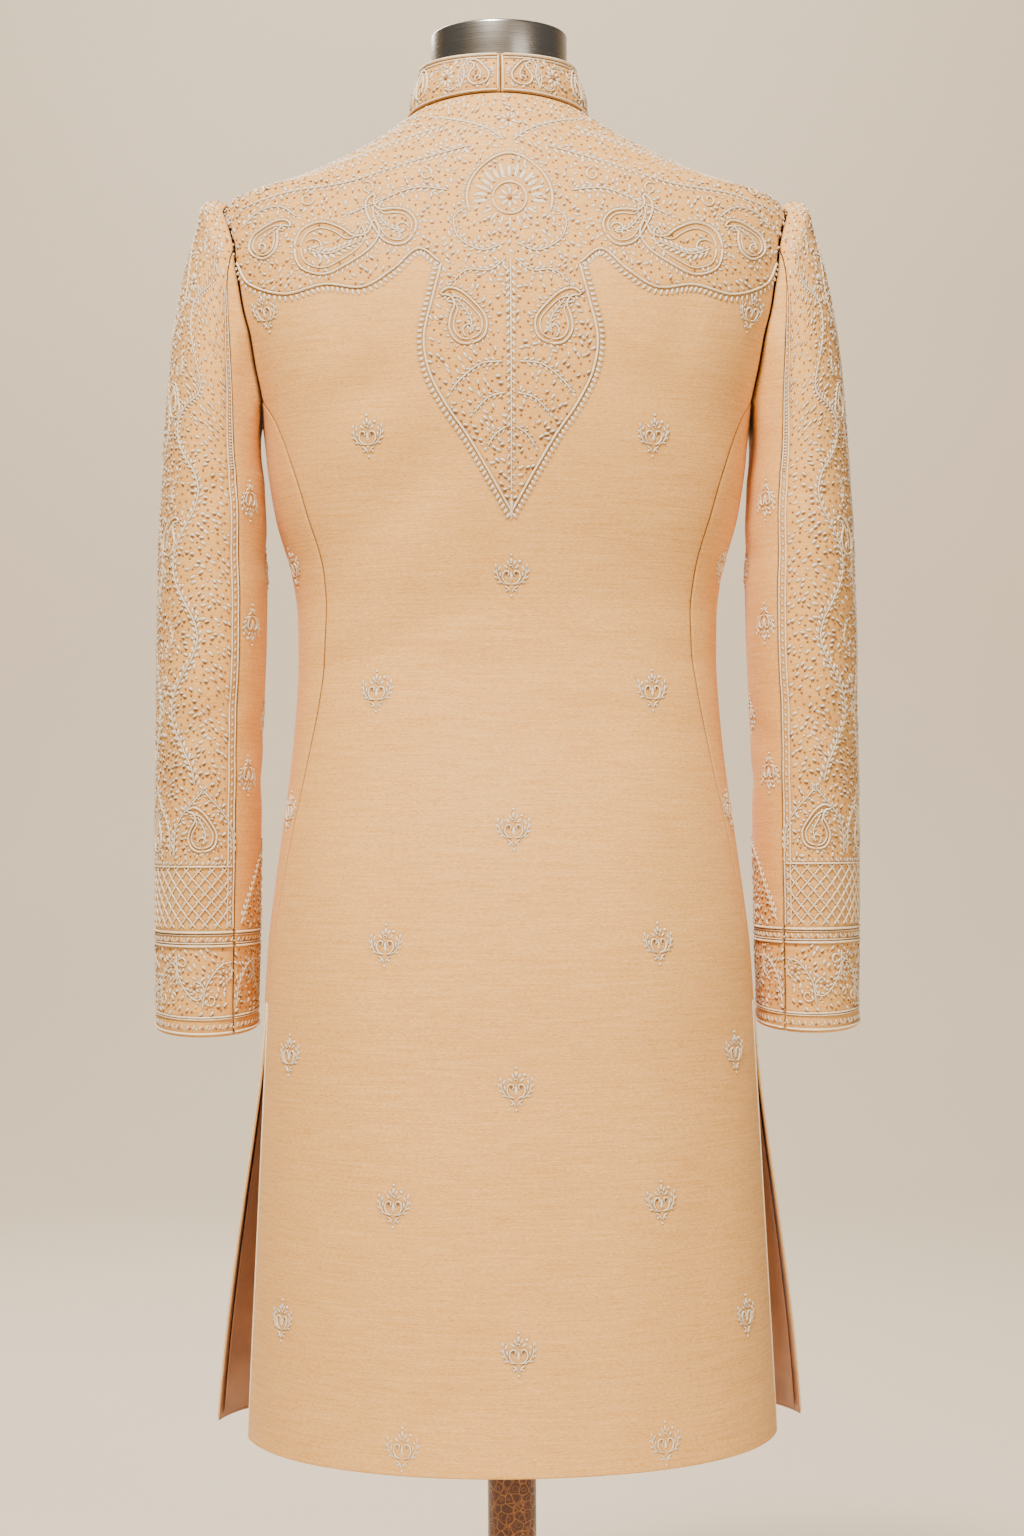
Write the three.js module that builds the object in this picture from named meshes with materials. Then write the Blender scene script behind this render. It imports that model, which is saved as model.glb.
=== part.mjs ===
// A sherwani coat standing on a limbless dress form.
// Millimetres, +Z up. The wearer faces -Y, so the wearer's left is +X. The origin is on the floor, under the pole.
import * as THREE from "three";
import { mergeVertices } from "three/addons/utils/BufferGeometryUtils.js";

// ---- Driving dimensions ----
const CLOTH = 1.8; // raw silk with its canvas
const LINING = 1.0;
const SEAM_GAP = 0.3;
const HEM = 433; // every height is measured from the floor
const SLIT_TOP = 790;
const UNDERARM = 1255;
const ARMHOLE_CORNER = 1272; // where the side seams reach the armhole
const SHOULDER_TIP = 1439;
const NECK = 1508;
const SLEEVE_HEAD = 1212; // the sleeve is a plain tube below this height
const HEAD_ROLL = 8; // the padded ridge at the top of the sleeve head
const FRONT_WRAP = 20; // how far each front passes the centre front
const WRAP_LIFT = CLOTH + 0.8; // the left front lies this far above the right one
const WRAP_RISE = 12; // width over which the left front climbs onto the right one
const LINING_MARGIN = 5; // silk that shows between the lining and the edges of the skirt
const LINING_EASE = 1.4; // the lining hangs this far inside the silk
const BUTTONS = { count: 8, top: 1440, pitch: 76, radius: 7.5, height: 4.5, shank: 1.3 };
const BASE = { radius: 180, thickness: 8, bevel: 2 };
const POLE_RADIUS = 20;
const NECK_CAP = { radius: 56, bottom: 1500, top: 1578, bevel: 5, shift: 4.5 };
const FORM_BOTTOM = 800;

const COLOURS = {
  silk: { color: 0xd9b98c, roughness: 0.75, metalness: 0 },
  lining: { color: 0x9a6c46, roughness: 0.6, metalness: 0 },
  button: { color: 0xe6cfa6, roughness: 0.5, metalness: 0 },
  form: { color: 0xd8cdbb, roughness: 0.9, metalness: 0 },
  steel: { color: 0x8f8f90, roughness: 0.3, metalness: 1 },
  wood: { color: 0x4a2f1e, roughness: 0.5, metalness: 0 },
};

// ---- Section tables: one row for each level, with named columns ----
function table(columns, rows) {
  const names = columns.split(" ");
  return rows.map((row) => Object.fromEntries(names.map((name, i) => [name, row[i]])));
}

// Rings of the coat's body. level: height at the side. half: half width of the back and of the closed rings.
// flare: what the side and front skirts add to it. back, front: depth from the pole. riseBack, riseFront: how
// much higher the ring is at the centre back and front. square: how far the ring fills its four corners. shift:
// how far it lies to the wearer's left, as the neck of the form is a little off its pole.
const BODY = table("level half flare back front riseBack riseFront square shift", [
  [433, 218.5, 28.5, 192, 168, 0, 0, 0.015, 0],
  [500, 215.5, 22.3, 181, 160, 0, 0, 0.015, 0],
  [560, 212.5, 16.3, 173, 154, 0, 0, 0.015, 0],
  [620, 209.5, 10.2, 166, 149, 0, 0, 0.015, 0],
  [680, 206.5, 4.5, 160, 145, 0, 0, 0.015, 0],
  [740, 203.5, 0.8, 154, 141, 0, 0, 0.015, 0],
  [790, 201, 0, 150, 138, 0, 0, 0.015, 0],
  [833, 198, 0, 145, 135, 0, 0, 0.015, 0],
  [866, 194, 0, 139, 132, 0, 0, 0.015, 0],
  [899, 189.5, 0, 133, 129, 0, 0, 0.015, 0],
  [932, 185, 0, 126, 126, 0, 0, 0.015, 0],
  [965, 180.3, 0, 119, 123, 0, 0, 0.015, 0],
  [998, 176.6, 0, 112, 120, 0, 0, 0.015, 0],
  [1031, 173.7, 0, 106, 118, 0, 0, 0.02, 0],
  [1064, 172.2, 0, 102, 116, 0, 0, 0.02, 0],
  [1097, 172.6, 0, 102, 117, 0, 0, 0.02, 0],
  [1130, 176.5, 0, 106, 119, 0, 0, 0.025, 0],
  [1179, 190, 0, 115, 125, 0, 0, 0.03, 0],
  [1215, 196, 0, 121, 128, 0, 0, 0.035, 0],
  [1255, 200.5, 0, 126, 129, 0, 0, 0.04, 0],
  [1300, 214, 0, 128, 127, 0, 0, 0.04, 0],
  [1350, 232, 0, 126, 121, 0, 0, 0.03, 0],
  [1392, 238, 0, 119, 110, 0, 0, 0.02, 0],
  [1420, 236, 0, 112, 101, 0, 0, 0.01, 0],
  [1439, 226, 0, 107, 93, 0, 0, 0, 0],
  [1454, 179, 0, 101, 87, 2, -3, 0, 0.5],
  [1470, 138.5, 0, 94, 82, 5, -7, 0, 1.5],
  [1488, 103, 0, 84, 77, 8, -14, 0, 3.5],
  [1508, 74, 0, 68, 76, 7, -28, 0, 5.5],
]);

// The stand collar: the same columns as a body ring, from its seam to its top edge.
const COLLAR = table("level half back front riseBack riseFront shift", [
  [1508.4, 73.8, 67.8, 75.6, 7, -28, 5.5],
  [1523, 72, 67.5, 73.5, 4.5, -30, 5.5],
  [1538, 67.5, 65.5, 69, 1, -32, 5.5],
  [1550, 62.8, 62.5, 64, -2, -34, 5.5],
]);

// The armhole, from the shoulder tip down to the underarm. around: degrees round the sleeve head. back, front:
// degrees round the body, from the centre back.
const ARMHOLE = table("around level back front", [
  [0, 1439, 90, 90],
  [22, 1420, 73, 108],
  [49, 1392, 66, 116],
  [73, 1365, 65, 118],
  [102, 1330, 65.5, 118],
  [126, 1300, 70, 113.5],
  [150, 1272, 74.5, 105],
  [167, 1259, 82.5, 97.5],
  [180, 1255, 90, 90],
]);

// Seams of the side panel, in degrees round the body from the centre back. back: edge of the back panel.
// side: back edge of the side panel, which leaves the back panel at the top of the slit. front: side-front seam.
const SEAMS = table("level back side front", [
  [433, 78, 100, 116],
  [500, 77.8, 96, 115.6],
  [620, 77.6, 88.3, 114.8],
  [740, 77.5, 80, 113.8],
  [790, 77.5, 77.5, 113],
  [850, 75, 75, 112.5],
  [900, 72, 72, 112],
  [940, 69, 69, 112],
  [985, 65, 65, 112],
  [1040, 59.5, 59.5, 111.5],
  [1100, 56.5, 56.5, 111],
  [1150, 56, 56, 110],
  [1190, 57.5, 57.5, 108.5],
  [1226, 61.5, 61.5, 107],
  [1255, 67.5, 67.5, 105.6],
  [1272, 74.5, 74.5, 105],
]);

// Sections of the hanging sleeve. centre: distance from the pole. ahead: how far it hangs forward. half, depth:
// half sizes across and front to back. tilt: how much lower the section is at its back. backSeam, frontSeam:
// degrees round the sleeve from its outer side, through its back.
const SLEEVE = table("level centre ahead half depth tilt backSeam frontSeam", [
  [1212, 241, 2, 41.5, 73, 0, 124, 238],
  [1146, 242, 3, 44.7, 73, 0, 125, 238],
  [1080, 243.3, 5, 44.7, 71.5, 0, 126, 238],
  [1031, 245, 8, 44.2, 70, 0, 126, 238],
  [966, 246.8, 13, 43.6, 67, 0, 126, 238],
  [900, 248.6, 19, 43.5, 63, 0, 126, 238],
  [833, 249.8, 25, 43, 59, 1, 126, 238],
  [784, 250.6, 29, 42, 56, 4, 126, 238],
  [762, 251, 31, 42.5, 55.5, 6, 126, 238],
]);

// How the two sleeve seams run over the sleeve head: the share of the way from the armhole, and their angles.
const HEAD_SEAMS = table("share backSeam frontSeam", [
  [0, 49, 258],
  [0.14, 76, 250],
  [0.3, 98, 245],
  [0.6, 116, 240],
  [1, 124, 238],
]);

// Soft folds of the body: a trough if depth is above zero, a ridge if it is below. across, level: its middle.
// lean: degrees from level, rising to the wearer's left. length, width: where it has faded out.
const FOLDS = {
  back: table("across level lean length width depth", [
    [92, 1180, -46, 150, 26, 4.5],
    [96, 1130, -50, 190, 34, -4],
    [-82, 1136, 40, 110, 30, 2.5],
    [118, 1268, -37, 90, 18, 3.5],
    [-118, 1268, 37, 90, 18, 3.5],
    [-100, 1005, 30, 120, 26, 2],
  ]),
  front: table("across level lean length width depth", [
    [112, 1262, -38, 100, 20, 3.5],
    [-112, 1262, 38, 100, 20, 3.5],
    [84, 1120, -28, 120, 28, 2.5],
    [-86, 1112, 30, 110, 28, 2.5],
  ]),
};

// Rings of the smooth form inside the coat, from its flat underside to its neck.
const FORM = table("level half back front shift", [
  [800, 188, 137, 126, 0],
  [850, 186, 133, 124, 0],
  [900, 181, 124, 120, 0],
  [1000, 168, 103, 111, 0],
  [1070, 163, 93, 107, 0],
  [1150, 172, 99, 111, 0],
  [1220, 187, 111, 118, 0],
  [1290, 196, 117, 116, 0],
  [1350, 201, 115, 110, 0],
  [1400, 203, 107, 99, 0],
  [1424, 200, 99, 89, 0],
  [1439, 186, 94, 83, 0],
  [1451, 163, 89, 78, 0.5],
  [1466, 124, 82, 72, 1.5],
  [1484, 90, 71, 67, 3],
  [1500, 65, 59, 62, 4.5],
]);

// ---- Smooth reading of a table: a monotone cubic through its rows ----
function curve(rows, key, value) {
  const rising = [...rows].sort((a, b) => a[key] - b[key]);
  const x = rising.map((row) => row[key]);
  const y = rising.map((row) => row[value]);
  const last = x.length - 1;
  const slopes = x.slice(1).map((_, i) => (y[i + 1] - y[i]) / (x[i + 1] - x[i]));
  const tangents = x.map((_, i) => {
    if (i === 0) return slopes[0];
    if (i === last) return slopes[last - 1];
    const [before, after] = [slopes[i - 1], slopes[i]];
    return before * after <= 0 ? 0 : (2 * before * after) / (before + after);
  });
  return (at) => {
    let i = 0;
    while (i < last - 1 && at > x[i + 1]) i += 1;
    const width = x[i + 1] - x[i];
    const t = Math.min(1, Math.max(0, (at - x[i]) / width));
    const [t2, t3] = [t * t, t * t * t];
    return (
      y[i] * (2 * t3 - 3 * t2 + 1) +
      y[i + 1] * (3 * t2 - 2 * t3) +
      width * (tangents[i] * (t3 - 2 * t2 + t) + tangents[i + 1] * (t3 - t2))
    );
  };
}

function curves(rows, key) {
  const columns = Object.keys(rows[0]).filter((name) => name !== key);
  const made = columns.map((name) => [name, curve(rows, key, name)]);
  return (at) => Object.fromEntries(made.map(([name, read]) => [name, read(at)]));
}

const bodyAt = curves(BODY, "level");
const collarAt = curves(COLLAR, "level");
const formAt = curves(FORM, "level");
const seamsAt = curves(SEAMS, "level");
const sleeveAt = curves(SLEEVE, "level");
const headSeamsAt = curves(HEAD_SEAMS, "share");
const OPEN_ARMHOLE = ARMHOLE.filter((row) => row.level >= ARMHOLE_CORNER);
const armholeAt = curves(OPEN_ARMHOLE, "level");

const rad = THREE.MathUtils.degToRad;

// ---- Surfaces ----
function ring(section, half, angle, level) {
  const [s, c] = [Math.sin(rad(angle)), Math.cos(rad(angle))];
  const corner = 1 + (section.square ?? 0) * 4 * s * s * c * c;
  const rise = c > 0 ? section.riseBack : section.riseFront;
  return new THREE.Vector3(
    half * s * corner + (section.shift ?? 0),
    (c > 0 ? section.back : section.front) * c * corner,
    level + (rise ?? 0) * c * c,
  );
}

function foldDepth(point) {
  const side = point.y > 0 ? FOLDS.back : FOLDS.front;
  const fade = Math.min(1, Math.abs(point.y) / 40);
  return side.reduce((sum, fold) => {
    const [dx, dz] = [point.x - fold.across, point.z - fold.level];
    const [s, c] = [Math.sin(rad(fold.lean)), Math.cos(rad(fold.lean))];
    const along = (dx * c + dz * s) / (fold.length / 2);
    const over = (dz * c - dx * s) / fold.width;
    return sum + fade * fold.depth * Math.exp(-along * along - over * over);
  }, 0);
}

// The outer face of the coat's body. flared: 1 on the side and front panels, 0 on the back panel.
function bodyPoint(angle, level, flared) {
  const section = bodyAt(level);
  const half = section.half + flared * section.flare;
  const point = ring(section, half, angle, level);
  const depth = point.y > 0 ? section.back : section.front;
  const out = new THREE.Vector3(point.x / (half * half), point.y / (depth * depth), 0).normalize();
  return point.addScaledVector(out, -foldDepth(point));
}

// One side of the body, for the pieces that come in pairs. A right-hand piece is made as a left one, from the
// right side's surface turned over, and wall() turns it back.
function oneSide(mirrored) {
  const sign = mirrored ? -1 : 1;
  return (angle, level) => {
    const point = bodyPoint(sign * angle, level, 1);
    return point.setX(sign * point.x);
  };
}

function collarPoint(angle, level) {
  const section = collarAt(level);
  return ring(section, section.half, angle, level);
}

// The armhole as straight runs between its rows, so that it meets the edges of the panels.
function armholeLoop(surface, around) {
  const turn = ((around % 360) + 360) % 360;
  const fromTop = turn > 180 ? 360 - turn : turn;
  const side = turn > 180 ? "front" : "back";
  let i = 0;
  while (i < ARMHOLE.length - 2 && fromTop > ARMHOLE[i + 1].around) i += 1;
  const [upper, lower] = [ARMHOLE[i], ARMHOLE[i + 1]];
  const share = (fromTop - upper.around) / (lower.around - upper.around);
  return surface(upper[side], upper.level).lerp(surface(lower[side], lower.level), share);
}

const ARMHOLE_CENTRE = new THREE.Vector3(0, 0, (SHOULDER_TIP + UNDERARM) / 2);

function sleeveSection(around, level) {
  const section = sleeveAt(level);
  const [s, c] = [Math.sin(rad(around)), Math.cos(rad(around))];
  return new THREE.Vector3(
    section.centre + section.half * c,
    -section.ahead + section.depth * s,
    level - section.tilt * s,
  );
}

// The outer face of a sleeve set into one side of the body. down: 0 at the armhole, 1 at the foot of the sleeve
// head, 2 at the cuff. Over the head each line leaves the armhole outward and turns down.
function sleevePoint(surface, around, down) {
  if (down > 1) {
    const cuff = SLEEVE[SLEEVE.length - 1].level;
    return sleeveSection(around, SLEEVE_HEAD + (down - 1) * (cuff - SLEEVE_HEAD));
  }
  const edge = armholeLoop(surface, around);
  const inward = ARMHOLE_CENTRE.clone().setX(edge.x).sub(edge).normalize();
  const start = edge.addScaledVector(inward, SEAM_GAP + 0.2).add(new THREE.Vector3(SEAM_GAP + 0.2, 0, 0));
  const end = sleeveSection(around, SLEEVE_HEAD);
  const top = (1 + Math.cos(rad(around))) / 2;
  const sideways = Math.sin(rad(around));
  const leave = new THREE.Vector3(12 + 83 * top, 38 * sideways, -30 + 70 * top);
  const arrive = new THREE.Vector3(-6 + 18 * top, 4 * sideways, -45 - 255 * top);
  const roll = HEAD_ROLL * top ** 4 * Math.exp(-(((down - 0.13) / 0.09) ** 2)) * Math.SQRT1_2;
  const [d2, d3] = [down * down, down * down * down];
  return start
    .multiplyScalar(2 * d3 - 3 * d2 + 1)
    .add(new THREE.Vector3(roll, 0, roll))
    .addScaledVector(leave, d3 - 2 * d2 + down)
    .addScaledVector(end, 3 * d2 - 2 * d3)
    .addScaledVector(arrive, d3 - d2);
}

function sleeveSeams(down) {
  if (down <= 1) return headSeamsAt(down);
  const cuff = SLEEVE[SLEEVE.length - 1].level;
  return sleeveAt(SLEEVE_HEAD + (down - 1) * (cuff - SLEEVE_HEAD));
}

// The unit normal of a surface given as point(angle, along): it points out of the body and the collar, and into
// a sleeve, whose angle runs the other way round.
function facing(surface, angle, along, alongStep) {
  const step = 0.5;
  const across = surface(angle + step, along).sub(surface(angle - step, along));
  const up = surface(angle, along + alongStep).sub(surface(angle, along - alongStep));
  return up.cross(across).normalize();
}

// ---- Solids ----
function closed(positions, triangles) {
  const geometry = new THREE.BufferGeometry();
  geometry.setAttribute("position", new THREE.Float32BufferAttribute(positions, 3));
  geometry.setIndex(triangles);
  return mergeVertices(geometry, 1e-4);
}

// A wall of cloth over a grid: its outer skin, its inner skin and its four edges.
function wall(columns, rows, outer, inner, mirrored = false) {
  const positions = [];
  const triangles = [];
  for (const skin of [outer, inner]) {
    for (let j = 0; j <= rows; j += 1) {
      for (let i = 0; i <= columns; i += 1) {
        const point = skin(i, j);
        positions.push(mirrored ? -point.x : point.x, point.y, point.z);
      }
    }
  }
  const at = (i, j) => j * (columns + 1) + i;
  const under = (columns + 1) * (rows + 1);
  const face = (a, b, c) => triangles.push(a, mirrored ? c : b, mirrored ? b : c);
  const edge = (a, b) => {
    face(b, a, a + under);
    face(b, a + under, b + under);
  };
  for (let j = 0; j < rows; j += 1) {
    for (let i = 0; i < columns; i += 1) {
      const [a, b, c, d] = [at(i, j), at(i, j + 1), at(i + 1, j), at(i + 1, j + 1)];
      face(a, b, c);
      face(c, b, d);
      face(a + under, c + under, b + under);
      face(c + under, d + under, b + under);
    }
  }
  for (let i = 0; i < columns; i += 1) {
    edge(at(i + 1, 0), at(i, 0));
    edge(at(i, rows), at(i + 1, rows));
  }
  for (let j = 0; j < rows; j += 1) {
    edge(at(0, j), at(0, j + 1));
    edge(at(columns, j + 1), at(columns, j));
  }
  return closed(positions, triangles);
}

// A stack of rings from bottom to top, closed by flat ends.
function stack(sections, sides, point) {
  const positions = [];
  const triangles = [];
  const top = sections.length - 1;
  sections.forEach((section) => {
    for (let i = 0; i < sides; i += 1) positions.push(...point((360 * i) / sides, section).toArray());
  });
  const at = (i, j) => j * sides + (i % sides);
  for (let j = 0; j < top; j += 1) {
    for (let i = 0; i < sides; i += 1) {
      triangles.push(at(i, j), at(i, j + 1), at(i + 1, j));
      triangles.push(at(i + 1, j), at(i, j + 1), at(i + 1, j + 1));
    }
  }
  for (const [level, j] of [[sections[0], 0], [sections[top], top]]) {
    const centre = positions.length / 3;
    positions.push(level.shift, 0, level.level);
    for (let i = 0; i < sides; i += 1) {
      triangles.push(centre, at(i + (j ? 1 : 0), j), at(i + (j ? 0 : 1), j));
    }
  }
  return closed(positions, triangles);
}

// ---- Panels of the body ----
const SKIRT_LEVELS = [HEM, 475, 520, 565, 610, 655, 700, 745, SLIT_TOP];
const BEND_LEVEL = 1215; // above it the side panel's rows bend towards the armhole
const WAIST_LEVELS = [830, 865, 900, 935, 970, 1005, 1040, 1075, 1110, 1145, 1180, BEND_LEVEL];
const CHEST_LEVELS = [1235, 1255, ARMHOLE_CORNER];
const ARMHOLE_LEVELS = OPEN_ARMHOLE.map((row) => row.level).reverse().slice(1);
const SHOULDER_LEVELS = [1454, 1470, 1488, NECK];
const LOWER = [...SKIRT_LEVELS, ...WAIST_LEVELS, ...CHEST_LEVELS];
const ALL = [...LOWER, ...ARMHOLE_LEVELS, ...SHOULDER_LEVELS];

// Turns a distance along a ring into degrees there.
function degreesFor(distance, surface, angle, level) {
  return distance / surface(angle + 0.5, level).distanceTo(surface(angle - 0.5, level));
}

// The side panel's back edge is the back panel's seam, and below the seam's end the front edge of the slit.
function sideEdge(level) {
  return level < SLIT_TOP ? seamsAt(level).side : seamsAt(level).back;
}

// Half of the back's spread: the seam up to the armhole's corner, then the armhole, then the shoulder seam.
function backEdge(level) {
  if (level <= ARMHOLE_CORNER) return seamsAt(level).back;
  return level <= SHOULDER_TIP ? armholeAt(level).back : 90;
}

function frontEdge(level) {
  if (level <= ARMHOLE_CORNER) return seamsAt(level).front;
  return level <= SHOULDER_TIP ? armholeAt(level).front : 90;
}

function backPanel() {
  const columns = 12;
  const surface = (angle, level) => bodyPoint(angle, level, 0);
  const skin = (inset) => (i, j) => {
    const level = ALL[j];
    const edge = backEdge(level);
    const half = edge - degreesFor(SEAM_GAP / 2, surface, edge, level);
    const angle = half * ((2 * i) / columns - 1);
    return surface(angle, level).addScaledVector(facing(surface, angle, level, 1), -inset);
  };
  return wall(columns, ALL.length - 1, skin(0), skin(CLOTH));
}

// The side panel's top follows the bottom of the armhole, so its highest rows bend down in the middle.
function sidePanel(mirrored) {
  const columns = 4;
  const surface = oneSide(mirrored);
  const bottom = ARMHOLE.slice(-3).map((row) => row.level);
  const tops = [...bottom, ...bottom.slice(0, 2).reverse()];
  const bendFrom = LOWER.indexOf(BEND_LEVEL);
  const skin = (inset) => (i, j) => {
    const level = LOWER[j];
    const share = Math.max(0, j - bendFrom) / (LOWER.length - 1 - bendFrom);
    const lowered = level - share * (ARMHOLE_CORNER - tops[i]);
    const [side, { front }] = [sideEdge(level), seamsAt(level)];
    const start = side + degreesFor(SEAM_GAP / 2, surface, side, level);
    const end = front - degreesFor(SEAM_GAP / 2, surface, front, level);
    const angle = start + ((end - start) * i) / columns;
    return surface(angle, lowered).addScaledVector(facing(surface, angle, lowered, 1), -inset);
  };
  return wall(columns, LOWER.length - 1, skin(0), skin(CLOTH), mirrored);
}

// Degrees round the body where the front ring is a given distance past the centre front.
function pastFront(distance, level) {
  const section = bodyAt(level);
  return 180 + THREE.MathUtils.radToDeg(Math.asin(distance / (section.half + section.flare)));
}

// A front panel. Its last columns keep to fixed distances from the centre front, alike on both fronts, so that
// the left front lies evenly on the right one: it climbs on to it just before the right front's edge.
function frontPanel(mirrored) {
  const surface = oneSide(mirrored);
  const climbed = FRONT_WRAP + 3;
  const nearCentre = [-climbed - WRAP_RISE, -climbed, 0, FRONT_WRAP];
  const spread = 5;
  const columns = spread + nearCentre.length - 1;
  const lifts = nearCentre.map((_, i) => (i && !mirrored ? WRAP_LIFT : 0));
  const skin = (inset) => (i, j) => {
    const level = ALL[j];
    const edge = frontEdge(level);
    const start = edge + degreesFor(SEAM_GAP / 2, surface, edge, level);
    const end = pastFront(nearCentre[0], level);
    const near = i - spread;
    const angle = near > 0 ? pastFront(nearCentre[near], level) : start + ((end - start) * i) / spread;
    const lift = near > 0 ? lifts[near] : 0;
    return surface(angle, level).addScaledVector(facing(surface, angle, level, 1), lift - inset);
  };
  return wall(columns, ALL.length - 1, skin(0), skin(CLOTH), mirrored);
}

// The lining of a side and front skirt, seen through the slit.
function skirtLining(mirrored) {
  const columns = 9;
  const surface = oneSide(mirrored);
  const levels = [HEM + LINING_MARGIN, ...SKIRT_LEVELS.slice(1, -1), SLIT_TOP - LINING_MARGIN];
  const skin = (inset) => (i, j) => {
    const level = levels[j];
    const edge = sideEdge(level);
    const start = edge + degreesFor(LINING_MARGIN, surface, edge, level);
    const end = pastFront(-FRONT_WRAP - LINING_MARGIN, level);
    const angle = start + ((end - start) * i) / columns;
    const depth = CLOTH + LINING_EASE + inset;
    return surface(angle, level).addScaledVector(facing(surface, angle, level, 1), -depth);
  };
  return wall(columns, levels.length - 1, skin(0), skin(LINING), mirrored);
}

// ---- Collar, in two halves that meet at the centre back and the centre front ----
function collarHalf(mirrored) {
  const columns = 10;
  const sign = mirrored ? -1 : 1;
  const levels = COLLAR.map((row) => row.level);
  const surface = (angle, level) => {
    const point = collarPoint(sign * angle, level);
    return point.setX(sign * point.x);
  };
  const skin = (inset) => (i, j) => {
    const endGap = degreesFor(SEAM_GAP / 2, surface, 0, levels[j]);
    const angle = endGap + ((180 - 2 * endGap) * i) / columns;
    return surface(angle, levels[j]).addScaledVector(facing(surface, angle, levels[j], 1), -inset);
  };
  return wall(columns, levels.length - 1, skin(0), skin(CLOTH), mirrored);
}

// ---- Sleeves: a top and an under sleeve between two seams ----
const SLEEVE_GAP = 0.7; // a little more than elsewhere, as these seams twist over the head
const HEAD_STEPS = [0, 0.08, 0.18, 0.3, 0.44, 0.6, 0.78, 1];
const TUBE_STEPS = 9;

// Where the columns of a sleeve piece lie, as shares of its width: at each corner of the armhole, and on the top
// sleeve once more between them.
function sleeveShares(isTop) {
  const { backSeam, frontSeam } = headSeamsAt(0);
  const corners = ARMHOLE.map((row) => row.around);
  const all = [...corners.map((around) => around - 360), ...corners, ...corners.map((around) => 360 - around)];
  const [start, end] = isTop ? [backSeam, frontSeam - 360] : [frontSeam, backSeam];
  const both = isTop ? [...all, ...corners.map((around) => -around)] : all;
  const inside = [...new Set(both)].filter((a) => a <= start && a >= end).sort((a, b) => b - a);
  const shares = inside.map((a) => (start - a) / (start - end));
  return isTop ? shares.flatMap((u, i) => (i ? [(u + shares[i - 1]) / 2, u] : [u])) : shares;
}

function sleeveHalf(isTop, mirrored) {
  const shares = sleeveShares(isTop);
  const columns = shares.length - 1;
  const steps = [...HEAD_STEPS];
  for (let k = 1; k <= TUBE_STEPS; k += 1) steps.push(1 + k / TUBE_STEPS);
  steps.reverse();
  const body = oneSide(mirrored);
  const surface = (around, down) => sleevePoint(body, around, down);
  const skin = (inset) => (i, j) => {
    const down = steps[j];
    const { backSeam, frontSeam } = sleeveSeams(down);
    const [start, end] = isTop ? [frontSeam - 360, backSeam] : [backSeam, frontSeam];
    const first = start + degreesFor(SLEEVE_GAP / 2, surface, start, down);
    const last = end - degreesFor(SLEEVE_GAP / 2, surface, end, down);
    const angle = last - (last - first) * shares[i];
    const inward = facing(surface, angle, Math.max(down, 0.01), -0.01);
    return surface(angle, down).addScaledVector(inward, inset);
  };
  return wall(columns, steps.length - 1, skin(0), skin(CLOTH), mirrored);
}

// ---- Fastening ----
function button(level) {
  const { radius, height } = BUTTONS;
  const profile = [
    [0, 0],
    [radius * 0.7, 0],
    [radius, height * 0.35],
    [radius * 0.86, height * 0.72],
    [radius * 0.5, height * 0.95],
    [0, height],
  ].map(([x, y]) => new THREE.Vector2(x, y));
  const geometry = new THREE.LatheGeometry(profile, 14);
  const surface = (angle, at) => bodyPoint(angle, at, 1);
  const normal = facing(surface, 180, level, 1);
  const place = surface(180, level).addScaledVector(normal, WRAP_LIFT + BUTTONS.shank);
  return { geometry, place, normal };
}

// ---- The form, its neck cap, pole and base ----
function formTorso() {
  return stack(FORM.map((row) => row.level).map((level) => ({ level, ...formAt(level) })), 28, (angle, section) =>
    ring(section, section.half, angle, section.level),
  );
}

function turned(profile, sides) {
  return new THREE.LatheGeometry(profile.map(([x, y]) => new THREE.Vector2(x, y)), sides).rotateX(Math.PI / 2);
}

function neckCap() {
  const { radius, bottom, top, bevel, shift } = NECK_CAP;
  const shoulder = bevel * (1 - Math.SQRT1_2);
  return turned([
    [0, bottom + SEAM_GAP],
    [radius, bottom + SEAM_GAP],
    [radius, top - bevel],
    [radius - shoulder, top - shoulder],
    [radius - bevel, top],
    [0, top],
  ], 40).translate(shift, 0, 0);
}

function pole() {
  const [low, high] = [BASE.thickness + SEAM_GAP, FORM_BOTTOM - SEAM_GAP];
  return turned([[0, low], [POLE_RADIUS, low], [POLE_RADIUS, high], [0, high]], 24);
}

function base() {
  const { radius, thickness, bevel } = BASE;
  return turned([
    [0, 0],
    [radius, 0],
    [radius, thickness - bevel],
    [radius - bevel, thickness],
    [0, thickness],
  ], 48);
}

// ---- Assembly ----
function mesh(name, geometry, finish) {
  const result = new THREE.Mesh(geometry, new THREE.MeshStandardMaterial(COLOURS[finish]));
  result.name = name;
  return result;
}

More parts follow.
